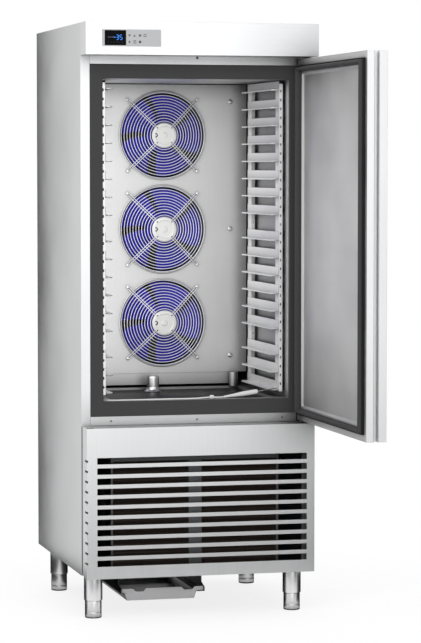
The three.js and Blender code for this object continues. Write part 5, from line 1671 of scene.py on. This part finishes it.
class CHILLER_OT_condenser(bpy.types.Operator):
    """Condenser with its fine fins, tubes, frame and fan, and a black sheet behind the rear slots
    that paints their shade
    """

    bl_idname = "chiller.condenser"
    bl_label = "Condenser"

    def execute(self, context):
        left, right = CONDENSER_LEFT + FRAME_BAR, CONDENSER_RIGHT - FRAME_BAR
        core_height = (COMPARTMENT_FLOOR + 2.0, TOP_BAR)
        bm = bmesh.new()
        pitch = context.scene.chiller_sizes.fin_pitch
        add_fins(bm, left, right, pitch, FIN_DEPTH, core_height)
        finish_piece("condenser_fine_fins", bm, "condenser_fins", "cabinet")
        bm = bmesh.new()
        start = COMPARTMENT_FLOOR + CONDENSER_ROW_START
        rows = [start + row * CONDENSER_ROW_PITCH for row in range(CONDENSER_ROWS)]
        add_tubes(bm, left, right, CONDENSER_TUBE_RADIUS, CONDENSER_TUBE_DEPTHS, rows)
        add_block(bm, (left, right), (29.0, 30.0), core_height)
        finish_piece("condenser_tubes", bm, "condenser_fins", "cabinet")
        height = (COMPARTMENT_FLOOR, CONDENSER_TOP)
        frame_bars = [
            ((CONDENSER_LEFT, left), FRAME_DEPTH, height),
            ((right, CONDENSER_RIGHT), FRAME_DEPTH, height),
            ((left + 0.1, right - 0.1), FRAME_DEPTH, (TOP_BAR, CONDENSER_TOP)),
            CENTRE_BAR,
        ]
        block_piece("condenser_frame", frame_bars, "galvanised_steel", ["condenser_coil"], 0.8)
        # A near-black sheet just inside the rear slots: painted shade, seen through them from the
        # front.
        block_piece("rear_slot_shade_sheet", [REAR_SLOT_SHADE], "gland_black")

        bm = bmesh.new()
        hub = lathe(rounded(CONDENSER_HUB, 2.0), 40)
        pour(bm, hub, at(0.0, CONDENSER_HUB_FRONT, 0.0, ALONG_Y))
        add_blades(bm, CONDENSER_BLADE_FRONT)
        centre = (CONDENSER_FAN_X, 0.0, CONDENSER_FAN_Z)
        bmesh.ops.translate(bm, vec=centre, verts=bm.verts)
        finish_piece(
            "condenser_fan_blades", bm, "black_blade", "condenser_fan", ["condenser_fan_rotor"]
        )
        bm = bmesh.new()
        place = at(CONDENSER_FAN_X, CONDENSER_FAN_BACK, CONDENSER_FAN_Z, ALONG_Y)
        pour(bm, lathe(rounded(CONDENSER_CAN, 3.0), 48), place)
        add_block(bm, *MOTOR_POST)
        add_block(bm, *MOTOR_FOOT)
        finish_piece(
            "condenser_fan_can", bm, "black_blade", "cabinet", ["condenser_fan_motor"]
        )
        return {"FINISHED"}


COMPRESSOR_X, COMPRESSOR_Y = 580.0, 500.0
COMPRESSOR = [(0, 173), (79, 173), (105, 203), (105, 318), (107, 321), (107, 327), (105, 330),
              (105, 391.5), (79, 436.5), (30, 450), (0, 451.5)]
COMPRESSOR_PLATE = ((450.0, 710.0), (426.5, 573.5), (169.8, 176.8))
COMPRESSOR_PAD = [(0, 151.5), (12, 151.5), (12, 160), (9, 162), (12, 164), (12, 173), (0, 173)]
PAD_REACH = (112.0, 52.5)
TERMINALS = ((548.0, 612.0), (388.0, 402.0), (250.0, 318.0))
RECEIVER = [(0, 151.5), (37, 151.5), (50, 169.5), (50, 393.5), (37, 411.5), (0, 411.5)]
RECEIVER_PLACE = (200.0, 600.0, 0.0)
PIPE_RADIUS, PIPE_LEVEL = 6.0, 519.5
PIPE_ROUTE = [(580, 500, 451.8), (580, 500, (451.5 + PIPE_LEVEL) / 2)] + [
    (x, y, PIPE_LEVEL)
    for x, y in ((644, 460), (708, 264), (708, 84), (696, 14), (680, 0), (668.3, 0))
]


class CHILLER_OT_vessels(bpy.types.Operator):
    """Compressor, liquid receiver and the pipe to the condenser"""

    bl_idname = "chiller.vessels"
    bl_label = "Compressor and receiver"

    def execute(self, context):
        bm = bmesh.new()
        pour(bm, lathe(rounded(COMPRESSOR, 16.0, 5), 64), at(COMPRESSOR_X, COMPRESSOR_Y, 0.0))
        add_block(bm, *COMPRESSOR_PLATE)
        reach_x, reach_y = PAD_REACH
        places = [at(COMPRESSOR_X + sx * reach_x, COMPRESSOR_Y + sy * reach_y, 0.0)
                  for sx in (-1, 1) for sy in (-1, 1)]
        pour(bm, lathe(rounded(COMPRESSOR_PAD, 1.0), 24), *places)
        finish_piece("compressor_shell", bm, "vessel_black", "cabinet", ["compressor"])
        block_piece("compressor_terminals", [TERMINALS], "gland_black", bevel=4.0)
        turned_piece(
            "receiver_shell", rounded(RECEIVER, 10.0, 4), 48, [at(*RECEIVER_PLACE)],
            "vessel_black", nodes=["liquid_receiver"],
        )
        bm = bmesh.new()
        line = smooth_line([Vector(point) for point in PIPE_ROUTE], 10)
        add_wire(bm, line, PIPE_RADIUS, 4)
        finish_piece("discharge_line", bm, "copper_pipe", "cabinet", ["discharge_pipe"])
        return {"FINISHED"}


# ---------------------------------------------------------------------------
# Legs
# ---------------------------------------------------------------------------

SLEEVE_WALL = [(0, 143.7), (28.3, 143.7), (28.3, 60), (31, 60), (31, 149.7), (0, 149.7)]
FOOT = [(0, 0.4), (25, 0.4), (27.6, 1.2), (27.8, 4.0), (26.8, 4.2), (26.8, 5.4), (28, 5.6),
        (28, 20), (27.4, 20.8), (28, 21.6), (28, 56), (27.6, 56.6), (27.6, 120), (0, 120)]
SOLE = [(0, 0), (24, 0), (26.6, 0.6), (27.9, 1.6), (27.9, 3.9), (0, 3.9)]
LEG_COLUMNS = {"left": 50.0, "right": 740.0}
LEG_ROWS = {"front": 55.0, "rear": 658.0}


class CHILLER_OT_legs(bpy.types.Operator):
    """Four legs with their screw feet"""

    bl_idname = "chiller.legs"
    bl_label = "Legs and feet"

    def execute(self, context):
        sleeve, foot, sole = rounded(SLEEVE_WALL, 0.8), rounded(FOOT, 0.6, 2), rounded(SOLE, 0.5)
        for row, y in LEG_ROWS.items():
            for column, x in LEG_COLUMNS.items():
                corner, place = f"{row}_{column}", at(x, y, 0.0)
                body = f"foot_{corner}_screw"
                for name, profile, steps, finish, rides, nodes in (
                    ("leg_sleeve_", sleeve, 56, "bright_turned", "cabinet", [f"leg_{corner}"]),
                    ("foot_turned_", foot, 56, "bright_turned", body, [f"foot_{corner}"]),
                    ("foot_sole_", sole, 48, "gland_black", body, ()),
                ):
                    turned_piece(name + corner, profile, steps, [place], finish, rides, nodes)
        return {"FINISHED"}


# ---------------------------------------------------------------------------
# Drip tray
# ---------------------------------------------------------------------------


class CHILLER_OT_drip_tray(bpy.types.Operator):
    """Drip tray under the cabinet and its rails"""

    bl_idname = "chiller.drip_tray"
    bl_label = "Drip tray"

    def execute(self, context):
        dress_copy("drip_tray", "tray_steel", 0.5)
        dress_copy("tray_rails", "grey_steel", 0.4)
        return {"FINISHED"}


# ---------------------------------------------------------------------------
# Panel, registration and the order of the work
# ---------------------------------------------------------------------------

OPERATORS = (
    CHILLER_OT_stage,
    CHILLER_OT_probe,
    CHILLER_OT_shell,
    CHILLER_OT_cell,
    CHILLER_OT_fascia,
    CHILLER_OT_grille_panel,
    CHILLER_OT_door,
    CHILLER_OT_hinges,
    CHILLER_OT_fan_plate,
    CHILLER_OT_fans,
    CHILLER_OT_evaporator,
    CHILLER_OT_racks,
    CHILLER_OT_condenser,
    CHILLER_OT_vessels,
    CHILLER_OT_legs,
    CHILLER_OT_drip_tray,
)


class CHILLER_PT_panel(bpy.types.Panel):
    """Sizes, colours and the builders of the pieces"""

    bl_label = "Blast chiller"
    bl_idname = "CHILLER_PT_panel"
    bl_space_type = "VIEW_3D"
    bl_region_type = "UI"
    bl_category = "Blast chiller"

    def draw(self, context):
        layout = self.layout
        for settings in (context.scene.chiller_sizes, context.scene.chiller_colours):
            for name in settings.bl_rna.properties.keys():
                if name not in ("rna_type", "name"):
                    layout.prop(settings, name)
        for operator in OPERATORS:
            layout.operator(operator.bl_idname)


CLASSES = (ChillerSizes, ChillerColours, *OPERATORS, CHILLER_PT_panel)


def register():
    for each in CLASSES:
        bpy.utils.register_class(each)
    bpy.types.Scene.chiller_sizes = bpy.props.PointerProperty(type=ChillerSizes)
    bpy.types.Scene.chiller_colours = bpy.props.PointerProperty(type=ChillerColours)


def unregister():
    del bpy.types.Scene.chiller_colours
    del bpy.types.Scene.chiller_sizes
    for each in reversed(CLASSES):
        bpy.utils.unregister_class(each)


def main():
    register()
    build_materials(bpy.context.scene.chiller_colours)
    for operator in OPERATORS:
        family, name = operator.bl_idname.split(".")
        result = getattr(getattr(bpy.ops, family), name)()
        if "FINISHED" not in result:
            raise RuntimeError(f"{operator.bl_idname} did not finish")


if __name__ == "__main__":
    main()
